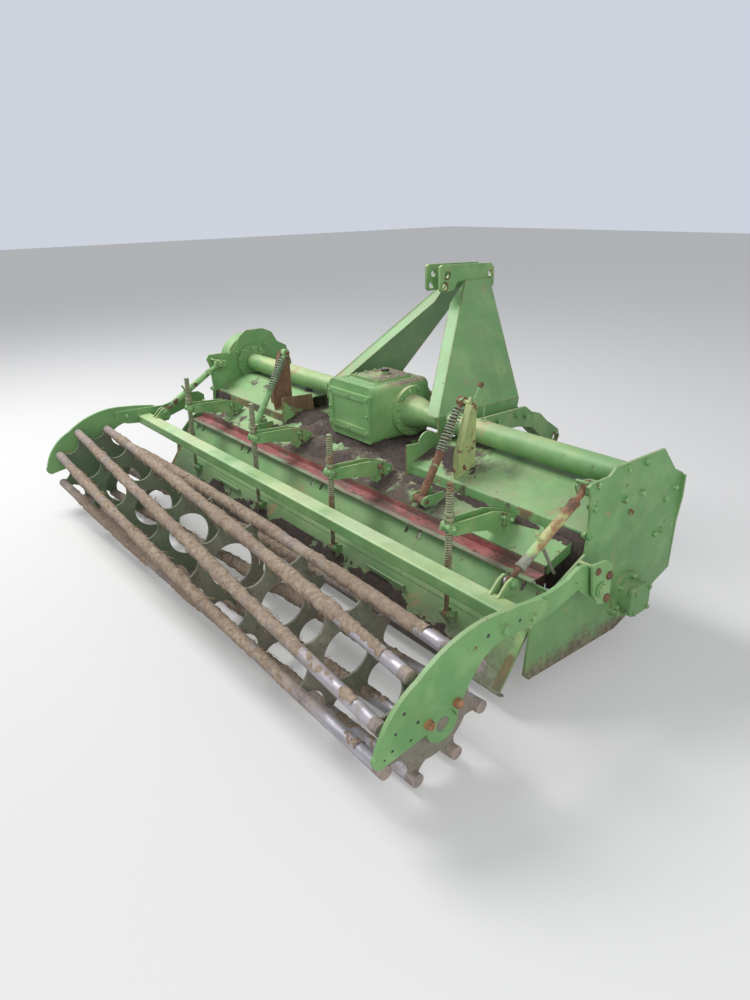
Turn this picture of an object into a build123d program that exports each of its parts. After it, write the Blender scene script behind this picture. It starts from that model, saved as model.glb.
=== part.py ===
from build123d import *
import math
import os

# Rotary hoe for a tractor's three-point linkage, with a cage roller behind. Millimetres.
# X runs to the machine's right, Y forward to the tractor, Z up.
# Outlines are (Y, Z), measured from the floor under the roller's axis.

# Main frame
plate_inner_x = 1400.0
plate_thick = 10.0
plate_outer_x = plate_inner_x + plate_thick
plate_front_y = 1352.0
sheet = 6.0
seat_gap = 0.3
running_gap = 0.05

# Carrying tube that also holds the drive shaft to the left side
beam_y, beam_z = 1055.0, 702.0
beam_radius = 52.0
beam_end_right = (75.0, 12.0)  # flange radius, thickness
beam_end_left = (105.0, 20.0)
beam_neck_radius = 84.0
beam_neck_length = 120.0
beam_box_flange_radius = 122.0
beam_box_flange_thick = 24.0

# Gearbox
box_left_x, box_right_x = -195.0, 150.0
box_rear_y, box_front_y = 821.0, 1170.0
box_bottom_z, box_top_z = 568.0, 842.0
box_corner = 34.0
cover_thick = 16.0
cover_margin = 12.0
cover_panel_depth = 6.0
top_cover_thick = 12.0
pinion_boss_radius = 82.0
pinion_boss_length = 90.0

# Input shaft, 1 3/8 inch
input_radius = 17.45
input_length = 110.0
input_bore_radius = 30.0

# Rotor
rotor_y = 1040.0
blade_tip_radius = 245.0
rotor_z = blade_tip_radius
rotor_tube_radius = 45.0
rotor_side_gap = 28.0
flange_radius = 112.0
flange_thick = 12.0
flange_count = 12
blades_per_flange = 6
blade_thick = 8.0
blade_width = 62.0
blade_root_radius = 62.0
blade_foot_length = 74.0
flange_phase_step = 17.0
rotor_stub_radius = 30.0
rotor_stub_length = 60.0

# Roller frame
arm_pivot_y, arm_pivot_z = 695.0, 440.0
arm_thick = 15.0
front_arm_side_gap = 75.0
front_arm_inner_x = plate_outer_x + front_arm_side_gap
crescent_inner_x = front_arm_inner_x + arm_thick
crossbar_y, crossbar_top_z = 334.0, 471.0
crossbar_depth, crossbar_height = 78.0, 50.0
crossbar_corner = 8.0
pivot_pin_radius = 20.0
bracket_spacers = ((40.0, 38.0), (39.0, -48.0))  # from the pivot
bracket_spacer_radius = 10.0
bearing_thick = 26.0
bearing_radius = 62.0

# Roller: bars on a slow helix through scalloped discs
bar_radius = 23.0
bar_circle_radius = 213.0
roller_radius = bar_circle_radius + bar_radius
roller_z = roller_radius
bar_count = 8
bar_twist = 53.0
bar_phase = 154.0
disc_count = 8
bar_end_gap = 18.0
bar_overhang = 27.0
disc_half_span = front_arm_inner_x - bar_end_gap - bar_overhang
disc_thick = 8.0
disc_rim = 8.0
disc_hole_radius = 98.0
scallop_radius = 66.0
scallop_offset = 12.0
hub_plate_radius = 150.0
hub_plate_thick = 14.0
stub_radius = 25.0

# Turnbuckles
turnbuckle_x = plate_inner_x - 38.0
turnbuckle_top = (800.0, 728.0)
turnbuckle_low = (415.0, 497.0)
turnbuckle_pin_radius = 12.5
low_pin_radius = 10.5
turnbuckle_eye_radius = 24.0
turnbuckle_eye_width = 24.0
barrel_radius = 18.0
screw_radius = 11.0
fork_ear_thick = 9.0
barrel_end = 386.0
handle_at = 268.0
handle_low, handle_high = 170.0, 50.0
screw_stroke = 30.0
low_eye_play = 2.0

# Rear flap
hinge_y, hinge_z = 604.0, 406.0
flap_bottom = (375.0, 75.0)
flap_side_gap = 15.0
knuckle_radius = 14.0
hinge_pin_radius = 7.0
hinge_end_x = plate_inner_x - 150.0
hinge_stations = tuple(share * hinge_end_x for share in (-1.0, -0.56, 0.0, 0.56, 1.0))
knuckle_length = 60.0
handle_xs = (560.0, 800.0)
handle_along, handle_out = 238.0, 20.0
handle_radius = 6.0

# Rods that carry the flap, and the arms that guide them
rod_inner_x, rod_outer_x = 328.0, plate_inner_x - 345.0
rod_xs = (-rod_outer_x, -rod_inner_x, rod_inner_x, rod_outer_x)
rod_pin = (442.0, 224.0)
rod_guide = (445.0, 578.0)
rod_top_z = 748.0
rod_eye_radius = 16.0
rod_shank_radius = 9.0
rod_thread_radius = 14.0
nut_radius = 20.0
rod_shank_length = 170.0
rod_pin_radius = 8.0
rod_hole_play = 1.0
guide_radius = 20.0
guide_width = 40.0
guide_pin_radius = 9.0
rod_arm_thick = 8.0

# Spring stays
stay_x = 680.0
stay_top = (872.0, 885.0)
stay_low = (648.0, 508.0)
stay_pin_radius = 10.0

# Mast for the top link
mast_plate_gap = 82.0
mast_plate_thick = 14.0
top_link_hole = (1679.0, 1290.0)
rear_link_holes = ((1375.0, 1303.0), (1362.0, 1248.0))
top_link_radius = 16.0
leg_thick = 10.0
leg_foot_x = 430.0
leg_flange = 70.0
leg_skirt_z = 662.0
leg_top_z = 1262.0

# Lower link forks
lower_pin = (1740.0, 500.0)
lower_bore_radius = 18.5
lower_gap = 62.0
lower_plate_thick = 15.0
lower_centre_x = 452.0

# Hood, from the hinge strip forward over the rotor
middle_left_x, middle_right_x = -600.0, 445.0
rear_panel = ((642.0, 465.0), (795.0, 518.0))
deck_rear, deck_front = (798.0, 560.0), (998.0, 632.0)
panel_end_x = plate_inner_x - 63.0
hood_crest_y, hood_front_y = 1120.0, 1343.0
hood_brow = (1265.0, 585.0)
hood_chin_z, hood_lip_z = 430.0, 330.0
middle_flat_y = (880.0, 1190.0)
middle_brow = (1270.0, 520.0)
middle_chin_z = 420.0


def yz_plate(outline, x_low, x_high):
    """Flat plate across X with an outline given as (Y, Z) points."""
    face = make_face(Polyline(*outline, close=True))
    return extrude(Plane.YZ.offset(x_low) * face, x_high - x_low)


def plates_beside(outline, x_low, x_high, thick):
    """Two equal plates, one on each side of a gap across X."""
    return yz_plate(outline, x_low - thick, x_low) + yz_plate(outline, x_high, x_high + thick)


def x_rod(y, z, x_low, x_high, radius):
    """Round bar along X."""
    length = x_high - x_low
    return Pos((x_low + x_high) / 2, y, z) * Rot(0, 90, 0) * Cylinder(radius, length)


def rod_between(start, end, radius):
    """Round bar from one point to another."""
    start, end = Vector(*start), Vector(*end)
    foot = Plane(origin=start, z_dir=end - start)
    return foot * Cylinder(radius, (end - start).length, align=(Align.CENTER, Align.CENTER, Align.MIN))


def box_between(low, high):
    """Block from its lowest to its highest corner."""
    size = [b - a for a, b in zip(low, high)]
    return Pos(*low) * Box(*size, align=(Align.MIN, Align.MIN, Align.MIN))


def mirrored(shape):
    """The same piece on the machine's other side."""
    return mirror(shape, about=Plane.YZ)


def both(shape):
    """A piece and its mirror image as one node."""
    return Compound(children=[shape, mirrored(shape)])


def bent_sheet(points, thick, x_low, x_high, bend=14.0):
    """Folded sheet across X whose middle follows (Y, Z) points."""
    path = FilletPolyline(*points, radius=bend)
    return extrude(Plane.YZ.offset(x_low) * trace(path, thick), x_high - x_low)


def panel_top(y):
    """Height just above the hood's rear panel at a place Y."""
    (y0, z0), (y1, z1) = rear_panel
    slope = (z1 - z0) / (y1 - y0)
    return z0 + slope * (y - y0) + sheet / 2 * math.hypot(1, slope) + seat_gap


def deck_top(y):
    """Height just above the raised channel's sloping deck at a place Y."""
    (y0, z0), (y1, z1) = deck_rear, deck_front
    slope = (z1 - z0) / (y1 - y0)
    return z0 + slope * (y - y0) + sheet / 2 * math.hypot(1, slope) + seat_gap


def side_plate():
    """Right side plate with its folded front edge and the turnbuckle's lug."""
    outline = [
        (743, 756), (760, 766), (859, 766), (895, 792), (1194, 792), (1290, 690), (plate_front_y, 660),
        (plate_front_y, 250), (1257, 215), (1150, 150), (1000, 98), (500, 98), (474, 125), (492, 310),
        (600, 420), (762, 500), (770, 594), (762, 708),
    ]
    plate = yz_plate(outline, plate_inner_x, plate_outer_x)
    plate -= x_rod(rotor_y, rotor_z, plate_inner_x - 1, plate_outer_x + 1, rotor_stub_radius + 12)
    return plate + front_fold()


def front_fold():
    """Folded lip on a side plate's front edge, wider at the top."""
    lip_x = plate_outer_x + 15
    outline = [(plate_inner_x, 260), (plate_outer_x, 260), (plate_outer_x + 4, 457), (lip_x, 562),
               (lip_x, 655), (plate_inner_x, 655)]
    face = make_face(Polyline(*outline, close=True))
    return extrude(Plane.XZ.offset(-plate_front_y) * face, plate_thick)


def turnbuckle_lug():
    """Two ears inside the side plate that hold the turnbuckle's upper pin."""
    y, z = turnbuckle_top
    half = turnbuckle_eye_width / 2 + seat_gap
    x_low, x_high = turnbuckle_x - half, turnbuckle_x + half
    outline = [(y - 24, z - 20), (y - 24, z + 12), (y - 8, z + 24), (y + 50, z + 14), (y + 50, z - 20)]
    lug = plates_beside(outline, x_low, x_high, fork_ear_thick)
    lug += box_between((x_low - fork_ear_thick, y + 30, z - 20), (plate_inner_x, y + 50, z + 14))
    return lug + x_rod(y, z, x_low - fork_ear_thick, x_high + fork_ear_thick, turnbuckle_pin_radius)


def left_plate():
    """Left side plate, taller round the side drive."""
    outline = [
        (743, 756), (762, 781), (923, 781), (985, 870), (1030, 900), (1150, 900), (1215, 870),
        (1252, 806), (1318, 771), (plate_front_y, 660), (plate_front_y, 250), (1257, 215), (1150, 150),
        (1000, 98), (500, 98), (474, 125), (492, 310), (600, 420), (762, 500), (770, 594),
        (762, 708),
    ]
    plate = yz_plate(outline, -plate_outer_x, -plate_inner_x)
    plate -= x_rod(rotor_y, rotor_z, -plate_outer_x - 1, -plate_inner_x + 1, rotor_stub_radius + 12)
    return plate + mirrored(front_fold())


def side_drive_case():
    """Closed case of the side drive, outside the left plate."""
    case_depth = 92.0
    upper_radius, lower_radius = 170.0, 128.0
    x_low, x_high = -plate_outer_x - case_depth, -plate_outer_x
    upper = x_rod(beam_y, beam_z, x_low, x_high, upper_radius)
    lower = x_rod(rotor_y, rotor_z, x_low, x_high, lower_radius)
    waist = yz_plate([(rotor_y - lower_radius, rotor_z), (rotor_y + lower_radius, rotor_z),
                      (beam_y + upper_radius, beam_z), (beam_y - upper_radius, beam_z)], x_low, x_high)
    case = upper + lower + waist
    case -= x_rod(rotor_y, rotor_z, -plate_outer_x - rotor_stub_length, x_high + 1,
                  rotor_stub_radius + running_gap)
    cap = x_rod(rotor_y, rotor_z, x_low - 14, x_low, 70)
    return case + cap


def beam(side):
    """Carrying tube from the gearbox to a side plate, with its flanges."""
    x_box = box_right_x if side > 0 else -box_left_x
    end_radius, end_thick = beam_end_right if side > 0 else beam_end_left
    tube = x_rod(beam_y, beam_z, x_box, plate_inner_x, beam_radius)
    flange = x_rod(beam_y, beam_z, x_box, x_box + beam_box_flange_thick, beam_box_flange_radius)
    neck = Pos(x_box + beam_box_flange_thick, beam_y, beam_z) * Rot(0, 90, 0) * Cone(
        beam_neck_radius, beam_radius, beam_neck_length, align=(Align.CENTER, Align.CENTER, Align.MIN))
    end = x_rod(beam_y, beam_z, plate_inner_x - end_thick, plate_inner_x, end_radius)
    shape = tube + flange + neck + end
    return shape if side > 0 else mirrored(shape)


def gearbox_housing():
    """Cast housing with rounded edges and a boss for the input shaft."""
    body = box_between((box_left_x, box_rear_y, box_bottom_z), (box_right_x, box_front_y, box_top_z))
    body = fillet(body.edges().filter_by(Axis.Y), box_corner)
    return body


def gearbox_rear_cover():
    """Flat cover with a raised border; the panel inside it is bare."""
    low = (box_left_x + cover_margin, box_rear_y - cover_thick, box_bottom_z + 44)
    high = (box_right_x - cover_margin, box_rear_y, box_top_z - 40)
    cover = box_between(low, high)
    border = 30.0
    recess = box_between((low[0] + border, low[1] - 1, low[2] + border),
                         (high[0] - border, low[1] + cover_panel_depth, high[2] - border))
    return cover - recess


def gearbox_top_cover():
    """Inspection cover with its breather."""
    cover = box_between((box_left_x + 70, box_rear_y + 90, box_top_z),
                        (box_right_x - 70, box_front_y - 50, box_top_z + top_cover_thick))
    breather = Pos(-22, box_front_y - 130, box_top_z + top_cover_thick + 14) * Cylinder(17, 28)
    return cover + breather


def pinion_housing():
    """Boss on the gearbox's front that carries the input shaft."""
    reach = box_front_y + pinion_boss_length
    boss = rod_between((0, box_front_y, beam_z), (0, reach, beam_z), pinion_boss_radius)
    rim = rod_between((0, box_front_y, beam_z), (0, box_front_y + 20, beam_z), pinion_boss_radius + 14)
    hole = rod_between((0, box_front_y + 30, beam_z), (0, reach + 1, beam_z),
                       input_bore_radius + running_gap)
    return boss + rim - hole


def input_shaft():
    """Input shaft with its splined end standing out of the boss."""
    start = box_front_y + 30 + seat_gap
    reach = box_front_y + pinion_boss_length + 8
    shoulder = rod_between((0, start, beam_z), (0, reach, beam_z), input_bore_radius)
    stub = rod_between((0, reach, beam_z), (0, reach + input_length, beam_z), input_radius)
    return shoulder + stub


def hood_side(side):
    """Raised channel on one side of the hood with the rear panel below it, and its slope to the front."""
    x_inner = -middle_left_x if side < 0 else middle_right_x
    end_radius, end_thick = beam_end_right if side > 0 else beam_end_left
    points = [rear_panel[0], rear_panel[1], deck_rear, deck_front, (hood_crest_y, deck_front[1]), hood_brow,
              (hood_front_y, hood_chin_z), (hood_front_y, hood_lip_z)]
    hood = bent_sheet(points, sheet, x_inner, plate_inner_x, bend=8.0)
    (y0, z0), (y1, z1) = rear_panel
    hood -= box_between((panel_end_x, y0 - 20, z0 - 65), (plate_inner_x + 1, y1 - 10, z1 + 42))
    hood -= x_rod(beam_y, beam_z, plate_inner_x - end_thick - 1, plate_inner_x + 1, end_radius + seat_gap)
    hood += yz_plate([(y0 + 12, z0 + 4), (y1 - 12, z1 - 4), (y1 - 12, z1 - 44), (y0 + 12, z0 - 36)],
                     panel_end_x - sheet, panel_end_x)
    return hood if side > 0 else mirrored(hood)


def hood_middle():
    """Low part of the hood under the gearbox."""
    top = box_bottom_z - seat_gap - sheet / 2
    points = [rear_panel[0], rear_panel[1], (middle_flat_y[0], top), (middle_flat_y[1], top), middle_brow,
              (hood_front_y, middle_chin_z), (hood_front_y, hood_lip_z)]
    return bent_sheet(points, sheet, middle_left_x + seat_gap, middle_right_x - seat_gap)


def channel_ends():
    """Plates that close the raised channels beside the gearbox, the right one with a rounded lobe."""
    seat = box_bottom_z - seat_gap + 0.5
    y, z = deck_rear
    foot = [(y + 216, seat), (y + 82, seat), (rear_panel[1][0] + 6, panel_top(rear_panel[1][0]) + 4),
            (y - 20, panel_top(y - 20))]
    lobe = [(y + 52, z + 88), (y + 94, z + 132), (y + 142, z + 116)]
    right = make_face(Curve() + [
        Polyline(*foot, (y - 22, z + 94), lobe[0]),
        ThreePointArc(*lobe),
        Polyline(lobe[2], (y + 164, z + 116), (y + 168, leg_skirt_z - 4), (y + 216, leg_skirt_z - 4),
                 foot[0]),
    ])
    right = extrude(Plane.YZ.offset(middle_right_x - 10) * right, 9)
    left = yz_plate([*foot[1:], (y - 20, z + 104), (y + 175, z + 94), (y + 185, seat)], middle_left_x + 1,
                    middle_left_x + 10)
    return Compound(children=[right, left])


def hinge_strip():
    """Angle along the hood's rear edge, with the ears that hold the flap's hinge pins."""
    y, z = rear_panel[0]
    lip_z = hinge_z + 19
    points = [(hinge_y - 32, lip_z), (y + 2, lip_z + 4), (y + 2, z - sheet / 2 - seat_gap)]
    reach = panel_end_x - sheet - seat_gap
    strip = bent_sheet(points, sheet, -reach, reach, bend=5.0)
    ear = [(hinge_y - 14, lip_z - 1), (hinge_y - 14, hinge_z - 12), (hinge_y + 14, hinge_z - 12),
           (hinge_y + 24, lip_z - 1)]
    half = knuckle_length / 2 + 1
    for x in hinge_stations:
        strip += plates_beside(ear, x - half, x + half, 8)
        strip += x_rod(hinge_y, hinge_z, x - half - 8, x + half + 8, hinge_pin_radius)
    return strip


def top_plates():
    """Two plates for the top link, with two rear holes and an arch below them."""
    y0, z0 = rear_link_holes[0]
    y1, z1 = top_link_hole
    outline = [(y0 - 43, z0 - 68), (y0 - 45, z0 + 37), (y0 - 30, z0 + 47), (y1 + 11, z1 + 50),
               (y1 + 33, z1 + 26), (y1 + 33, z1 - 65), (y1 - 174, z1 - 65), (y1 - 181, z1 - 20),
               (y0 + 75, z0 - 41), (y0 + 50, z0 - 78), (y0 - 30, z0 - 81)]
    inner = mast_plate_gap / 2
    plate = yz_plate(outline, inner, inner + mast_plate_thick)
    for y, z in (top_link_hole, *rear_link_holes):
        plate -= x_rod(y, z, inner - 1, inner + mast_plate_thick + 1, top_link_radius)
    spacer = x_rod(y1 - 99, z1, -inner, inner, 20)
    return plate + mirrored(plate) + spacer


def lower_link():
    """Right lower link fork: two plates from the beam forward to the pin."""
    y, z = lower_pin
    outline = [(beam_y + 30, beam_z - 62), (beam_y + 30, beam_z + 4), (y - 240, beam_z + 4),
               (y - 193, z + 172), (y - 128, z + 152), (y - 72, z + 104), (y + 25, z + 40), (y + 42, z),
               (y + 22, z - 38), (y - 24, z - 44), (y - 100, z + 20), (y - 180, z + 90), (y - 290, z + 114)]
    low = lower_centre_x - lower_gap / 2
    high = lower_centre_x + lower_gap / 2
    reach = (low - lower_plate_thick - 1, high + lower_plate_thick + 1)
    fork = plates_beside(outline, low, high, lower_plate_thick)
    fork -= x_rod(y, z, *reach, lower_bore_radius)
    fork -= x_rod(beam_y, beam_z, *reach, beam_radius + seat_gap)
    return fork + x_rod(y - 155, z + 132, low, high, 16)


def stay_post():
    """Post on the channel that holds the spring stay's top, with its pin."""
    y, z = stay_top
    x_low = stay_x + 32
    outline = [(y - 66, deck_top(y - 66)), (y - 73, z - 281), (y - 73, z - 205), (y - 10, z - 2),
               (y + 10, z + 21), (y + 33, z + 7), (y + 44, z - 29), (y + 46, deck_top(y + 46))]
    rib = [(y - 73, z - 281), (y - 73, z - 205), (y - 10, z - 2), (y, z - 5), (y - 63, z - 208),
           (y - 63, z - 281)]
    post = yz_plate(outline, x_low, x_low + 10) + yz_plate(rib, x_low, x_low + 34)
    return post + x_rod(y, z, stay_x - 26, x_low + 16, stay_pin_radius)


def spring_stay():
    """Rod and tube of the spring stay with eyes at both ends."""
    y, z = stay_top
    axis, length = stay_axis()
    eye = x_rod(y, z, stay_x - 14, stay_x + 14, 20)
    eye -= x_rod(y, z, stay_x - 15, stay_x + 15, stay_pin_radius + running_gap)
    rod = rod_between(stay_point(18), stay_point(length * 0.55), 10)
    tube = rod_between(stay_point(length * 0.5), stay_point(length - 16), 17)
    boss = x_rod(*stay_low, stay_x - 30, stay_x + 30, 20)
    return eye + rod + tube + boss


def stay_axis():
    """Direction of the stay from its top down, and its length."""
    dy, dz = stay_low[0] - stay_top[0], stay_low[1] - stay_top[1]
    length = math.hypot(dy, dz)
    return (dy / length, dz / length), length


def stay_point(distance):
    """Point on the right stay's axis, counted from its top."""
    axis, _ = stay_axis()
    return (stay_x, stay_top[0] + axis[0] * distance, stay_top[1] + axis[1] * distance)


def stay_spring():
    """Envelope of the coil spring round the stay's rod."""
    _, length = stay_axis()
    outer = rod_between(stay_point(32), stay_point(length * 0.5 - 1), 25)
    return outer - rod_between(stay_point(31), stay_point(length * 0.5), 16)


def stay_foot():
    """Two lever plates on the hood that hold the stay's lower boss."""
    y, z = stay_low
    outline = [(y - 23, z - 8), (y - 16, z + 18), (y + 4, z + 24), (y + 94, z + 24),
               (y + 96, panel_top(y + 96)), (y + 42, panel_top(y + 42)), (y + 20, z - 18), (y - 6, z - 24)]
    inner = stay_x - 30 - seat_gap
    outer = stay_x + 30 + seat_gap
    return Compound(children=[yz_plate(outline, inner - 8, inner), yz_plate(outline, outer, outer + 8)])


def rod_arm(x):
    """Cranked two-plate arm that carries a rod's guide."""
    y, z = rod_guide
    outline = [(y - 21, z - 12), (y - 13, z + 12), (y + 10, z + 22), (y + 55, z + 19), (y + 198, z + 11),
               (y + 255, z - 6), (y + 305, z - 27), (y + 329, z - 40), (y + 323, z - 54), (y + 290, z - 62),
               (y + 245, z - 66), (y + 172, z - 56), (y + 95, z - 38), (y + 31, z - 31), (y, z - 26)]
    half = guide_width / 2 + 1
    reach = half + rod_arm_thick + 1
    arm = plates_beside(outline, x - half, x + half, rod_arm_thick)
    arm -= x_rod(y, z, x - reach, x + reach, guide_pin_radius + running_gap)
    for y_low, y_high, top in ((y + 231, y + 261, z - 33), (y + 285, y + 317, z - 42)):
        lug = [(y_low, panel_top(y_low)), (y_high, panel_top(y_high)), (y_high - 3, top), (y_low + 3, top)]
        arm += yz_plate(lug, x - half, x + half)
    return arm


def rod_guide_block(x):
    """Swivel block with a hole for the rod and two trunnions."""
    y, z = rod_guide
    block = x_rod(y, z, x - guide_width / 2, x + guide_width / 2, guide_radius)
    pins = x_rod(y, z, x - guide_width / 2 - 12, x + guide_width / 2 + 12, guide_pin_radius)
    axis = rod_axis()
    hole = rod_between((x, y - axis[0] * 40, z - axis[1] * 40), (x, y + axis[0] * 40, z + axis[1] * 40),
                       rod_thread_radius + rod_hole_play)
    return block + pins - hole


def rod_axis():
    """Unit direction from a rod's pin to its guide, as (Y, Z)."""
    dy, dz = rod_guide[0] - rod_pin[0], rod_guide[1] - rod_pin[1]
    length = math.hypot(dy, dz)
    return dy / length, dz / length


def flap_axis():
    """Direction down the flap and the direction to its rear, as (Y, Z) pairs, and its length."""
    dy, dz = flap_bottom[0] - hinge_y, flap_bottom[1] - hinge_z
    length = math.hypot(dy, dz)
    down = (dy / length, dz / length)
    return down, (down[1], -down[0]), length


def flap_point(along, out):
    """Point at a distance down from the hinge and out from the flap's middle plane."""
    down, rear, _ = flap_axis()
    return (hinge_y + down[0] * along + rear[0] * out, hinge_z + down[1] * along + rear[1] * out)


def flap_rod(x):
    """Threaded rod with its eye, and the nuts above the guide."""
    y, z = rod_pin
    axis = rod_axis()
    reach = (rod_top_z - z) / axis[1]

    def along(distance):
        return (x, y + axis[0] * distance, z + axis[1] * distance)

    eye = x_rod(y, z, x - 12, x + 12, rod_eye_radius)
    shank = rod_between(along(10), along(rod_shank_length), rod_shank_radius)
    thread = rod_between(along(rod_shank_length - 1), along(reach), rod_thread_radius)
    to_guide = (rod_guide[1] - z) / axis[1]
    nuts = rod_between(along(to_guide + guide_radius + 3), along(to_guide + guide_radius + 39), nut_radius)
    rod = eye + shank + thread + nuts
    return rod - x_rod(y, z, x - 13, x + 13, rod_pin_radius + running_gap)


def flap():
    """Rear flap with its knuckles, the rods' ears, two bar handles and a folded foot."""
    points = [flap_point(9, 0), flap_bottom, (flap_bottom[0] + 30, flap_bottom[1] - 14)]
    half = plate_inner_x - flap_side_gap
    panel = bent_sheet(points, sheet, -half, half, bend=8.0)
    for x in hinge_stations:
        panel += x_rod(hinge_y, hinge_z, x - knuckle_length / 2, x + knuckle_length / 2, knuckle_radius)
        panel -= x_rod(hinge_y, hinge_z, x - knuckle_length / 2 - 1, x + knuckle_length / 2 + 1,
                       hinge_pin_radius + running_gap)
        for side in (-1, 1):
            x_gap = x + side * (knuckle_length / 2 + 5 + 2)
            panel -= box_between((x_gap - 8, hinge_y - 40, hinge_z - 34),
                                 (x_gap + 8, hinge_y + 40, hinge_z + 30))
    y, z = rod_pin
    down, rear, _ = flap_axis()
    a = (y - hinge_y) * down[0] + (z - hinge_z) * down[1]
    out = (y - hinge_y) * rear[0] + (z - hinge_z) * rear[1]
    ear = [flap_point(*p) for p in ((a - 26, 0), (a - 14, out + 6), (a - 6, out + 13), (a + 6, out + 13),
                                    (a + 14, out + 6), (a + 26, 0))]
    for x in rod_xs:
        panel += plates_beside(ear, x - 13, x + 13, 8)
        panel += x_rod(y, z, x - 21, x + 21, rod_pin_radius)
    foot, grip = flap_point(handle_along, 0), flap_point(handle_along, handle_out)
    for side in (-1, 1):
        ends = sorted(side * x for x in handle_xs)
        panel += x_rod(*grip, *ends, handle_radius)
        for x in (ends[0] + 2 * handle_radius, ends[1] - 2 * handle_radius):
            panel += rod_between((x, *foot), (x, *grip), handle_radius - 1)
    return panel


def front_arm():
    """Right arm plate of the roller frame, from the pivot back past the crossbar."""
    y, z = arm_pivot_y, arm_pivot_z
    outline = [(155, 455), (160, 505), (190, 512), (323, 508), (457, 501), (497, 508), (550, 516),
               (571, 527), (604, 541), (650, 535), (y - 15, z + 60), (y + 17, z + 34), (y + 35, z + 15),
               (y + 38, z), (y + 30, z - 25), (y + 11, z - 36), (y - 10, z - 38), (660, 412), (624, 440),
               (607, 457), (565, 447), (507, 430), (467, 419), (378, 414), (232, 430)]
    plate = yz_plate(outline, front_arm_inner_x, front_arm_inner_x + arm_thick)
    return plate - x_rod(y, z, front_arm_inner_x - 1, front_arm_inner_x + arm_thick + 1,
                         pivot_pin_radius + running_gap)


def crescent():
    """Right crescent plate with the notch round the roller's hub."""
    face = make_face(Curve() + [
        ThreePointArc((190, 536), (20, 514), (-110, 446)),
        ThreePointArc((-110, 446), (-207, 374), (-262, 268)),
        ThreePointArc((-262, 268), (-267, 236), (-246, 220)),
        Polyline((-246, 220), (-99, 245), (-72, 250)),
        ThreePointArc((-72, 250), (-15, 303), (44, 250)),
        ThreePointArc((44, 250), (84, 334), (152, 410)),
        ThreePointArc((152, 410), (193, 430), (238, 438)),
        Polyline((238, 438), (378, 430), (428, 455), (430, 490), (405, 509), (300, 526), (190, 536)),
    ])
    return extrude(Plane.YZ.offset(crescent_inner_x) * face, arm_thick)


def roller_bearing():
    """Flanged bearing inside the crescent."""
    x_high = crescent_inner_x
    x_low = x_high - bearing_thick
    housing = x_rod(0, roller_z, x_low, x_high, bearing_radius)
    foot = [(-92, 244), (-90, 290), (-60, 318), (50, 334), (66, 300), (48, 240)]
    housing += yz_plate(foot, x_high - 12, x_high)
    return housing - x_rod(0, roller_z, x_low - 1, x_high + 1, stub_radius + running_gap)


def crossbar():
    """Bar between the arms."""
    y_low, y_high = crossbar_y - crossbar_depth / 2, crossbar_y + crossbar_depth / 2
    bar = box_between((-front_arm_inner_x, y_low, crossbar_top_z - crossbar_height),
                      (front_arm_inner_x, y_high, crossbar_top_z))
    return fillet(bar.edges().filter_by(Axis.X), crossbar_corner)


def turnbuckle_fork():
    """Two ears and a pin on the crossbar for the right turnbuckle's lower eye."""
    y, z = turnbuckle_low
    front, top = crossbar_y + crossbar_depth / 2 + seat_gap, crossbar_top_z + seat_gap
    outline = [(front - 30, top), (front - 16, top + 10), (y - 28, z + 16), (y, z + 26), (y + 26, z + 10),
               (y + 32, z - 22), (y + 14, z - 50), (front, z - 54), (front, top)]
    half = turnbuckle_eye_width / 2 + 1
    x_low, x_high = turnbuckle_x - half, turnbuckle_x + half
    ears = plates_beside(outline, x_low, x_high, fork_ear_thick)
    return ears + x_rod(y, z, x_low - fork_ear_thick, x_high + fork_ear_thick, low_pin_radius)


def pivot_bracket():
    """Plate outside the arm that holds the pivot pin, on two spacers from the side plate."""
    x_low = crescent_inner_x + arm_thick + seat_gap
    y, z = arm_pivot_y, arm_pivot_z
    outline = [(y - 57, z + 105), (y + 21, z + 100), (y + 57, z + 75), (y + 61, z - 55), (y + 27, z - 68),
               (y - 7, z - 56), (y - 38, z - 10), (y - 51, z + 72)]
    bracket = yz_plate(outline, x_low, x_low + 10)
    bracket += x_rod(y, z, plate_outer_x, x_low + 22, pivot_pin_radius)
    for dy, dz in bracket_spacers:
        bracket += x_rod(y + dy, z + dz, plate_outer_x, x_low + 14, bracket_spacer_radius)
    return bracket


def turnbuckle_axis():
    """Unit direction from a turnbuckle's upper pin to its lower one, as (Y, Z)."""
    dy, dz = turnbuckle_low[0] - turnbuckle_top[0], turnbuckle_low[1] - turnbuckle_top[1]
    length = math.hypot(dy, dz)
    return dy / length, dz / length, length


def turnbuckle_point(distance):
    """Point on the right turnbuckle's axis, counted from its upper pin."""
    dy, dz, _ = turnbuckle_axis()
    return (turnbuckle_x, turnbuckle_top[0] + dy * distance, turnbuckle_top[1] + dz * distance)


def turnbuckle_barrel():
    """Upper eye, barrel and turning handle."""
    y, z = turnbuckle_top
    half = turnbuckle_eye_width / 2
    dy, dz, length = turnbuckle_axis()
    eye = x_rod(y, z, turnbuckle_x - half, turnbuckle_x + half, turnbuckle_eye_radius)
    neck = rod_between(turnbuckle_point(16), turnbuckle_point(80), screw_radius)
    barrel = rod_between(turnbuckle_point(70), turnbuckle_point(barrel_end), barrel_radius)
    x, y_mid, z_mid = turnbuckle_point(handle_at)
    low = (x, y_mid - dz * handle_low, z_mid + dy * handle_low)
    high = (x, y_mid + dz * handle_high, z_mid - dy * handle_high)
    shape = eye + neck + barrel + rod_between(high, low, 6)
    shape -= x_rod(y, z, x - half - 1, x + half + 1, turnbuckle_pin_radius + running_gap)
    shape -= rod_between(turnbuckle_point(handle_at + 10), turnbuckle_point(barrel_end + 1),
                         screw_radius + running_gap)
    return shape


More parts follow.
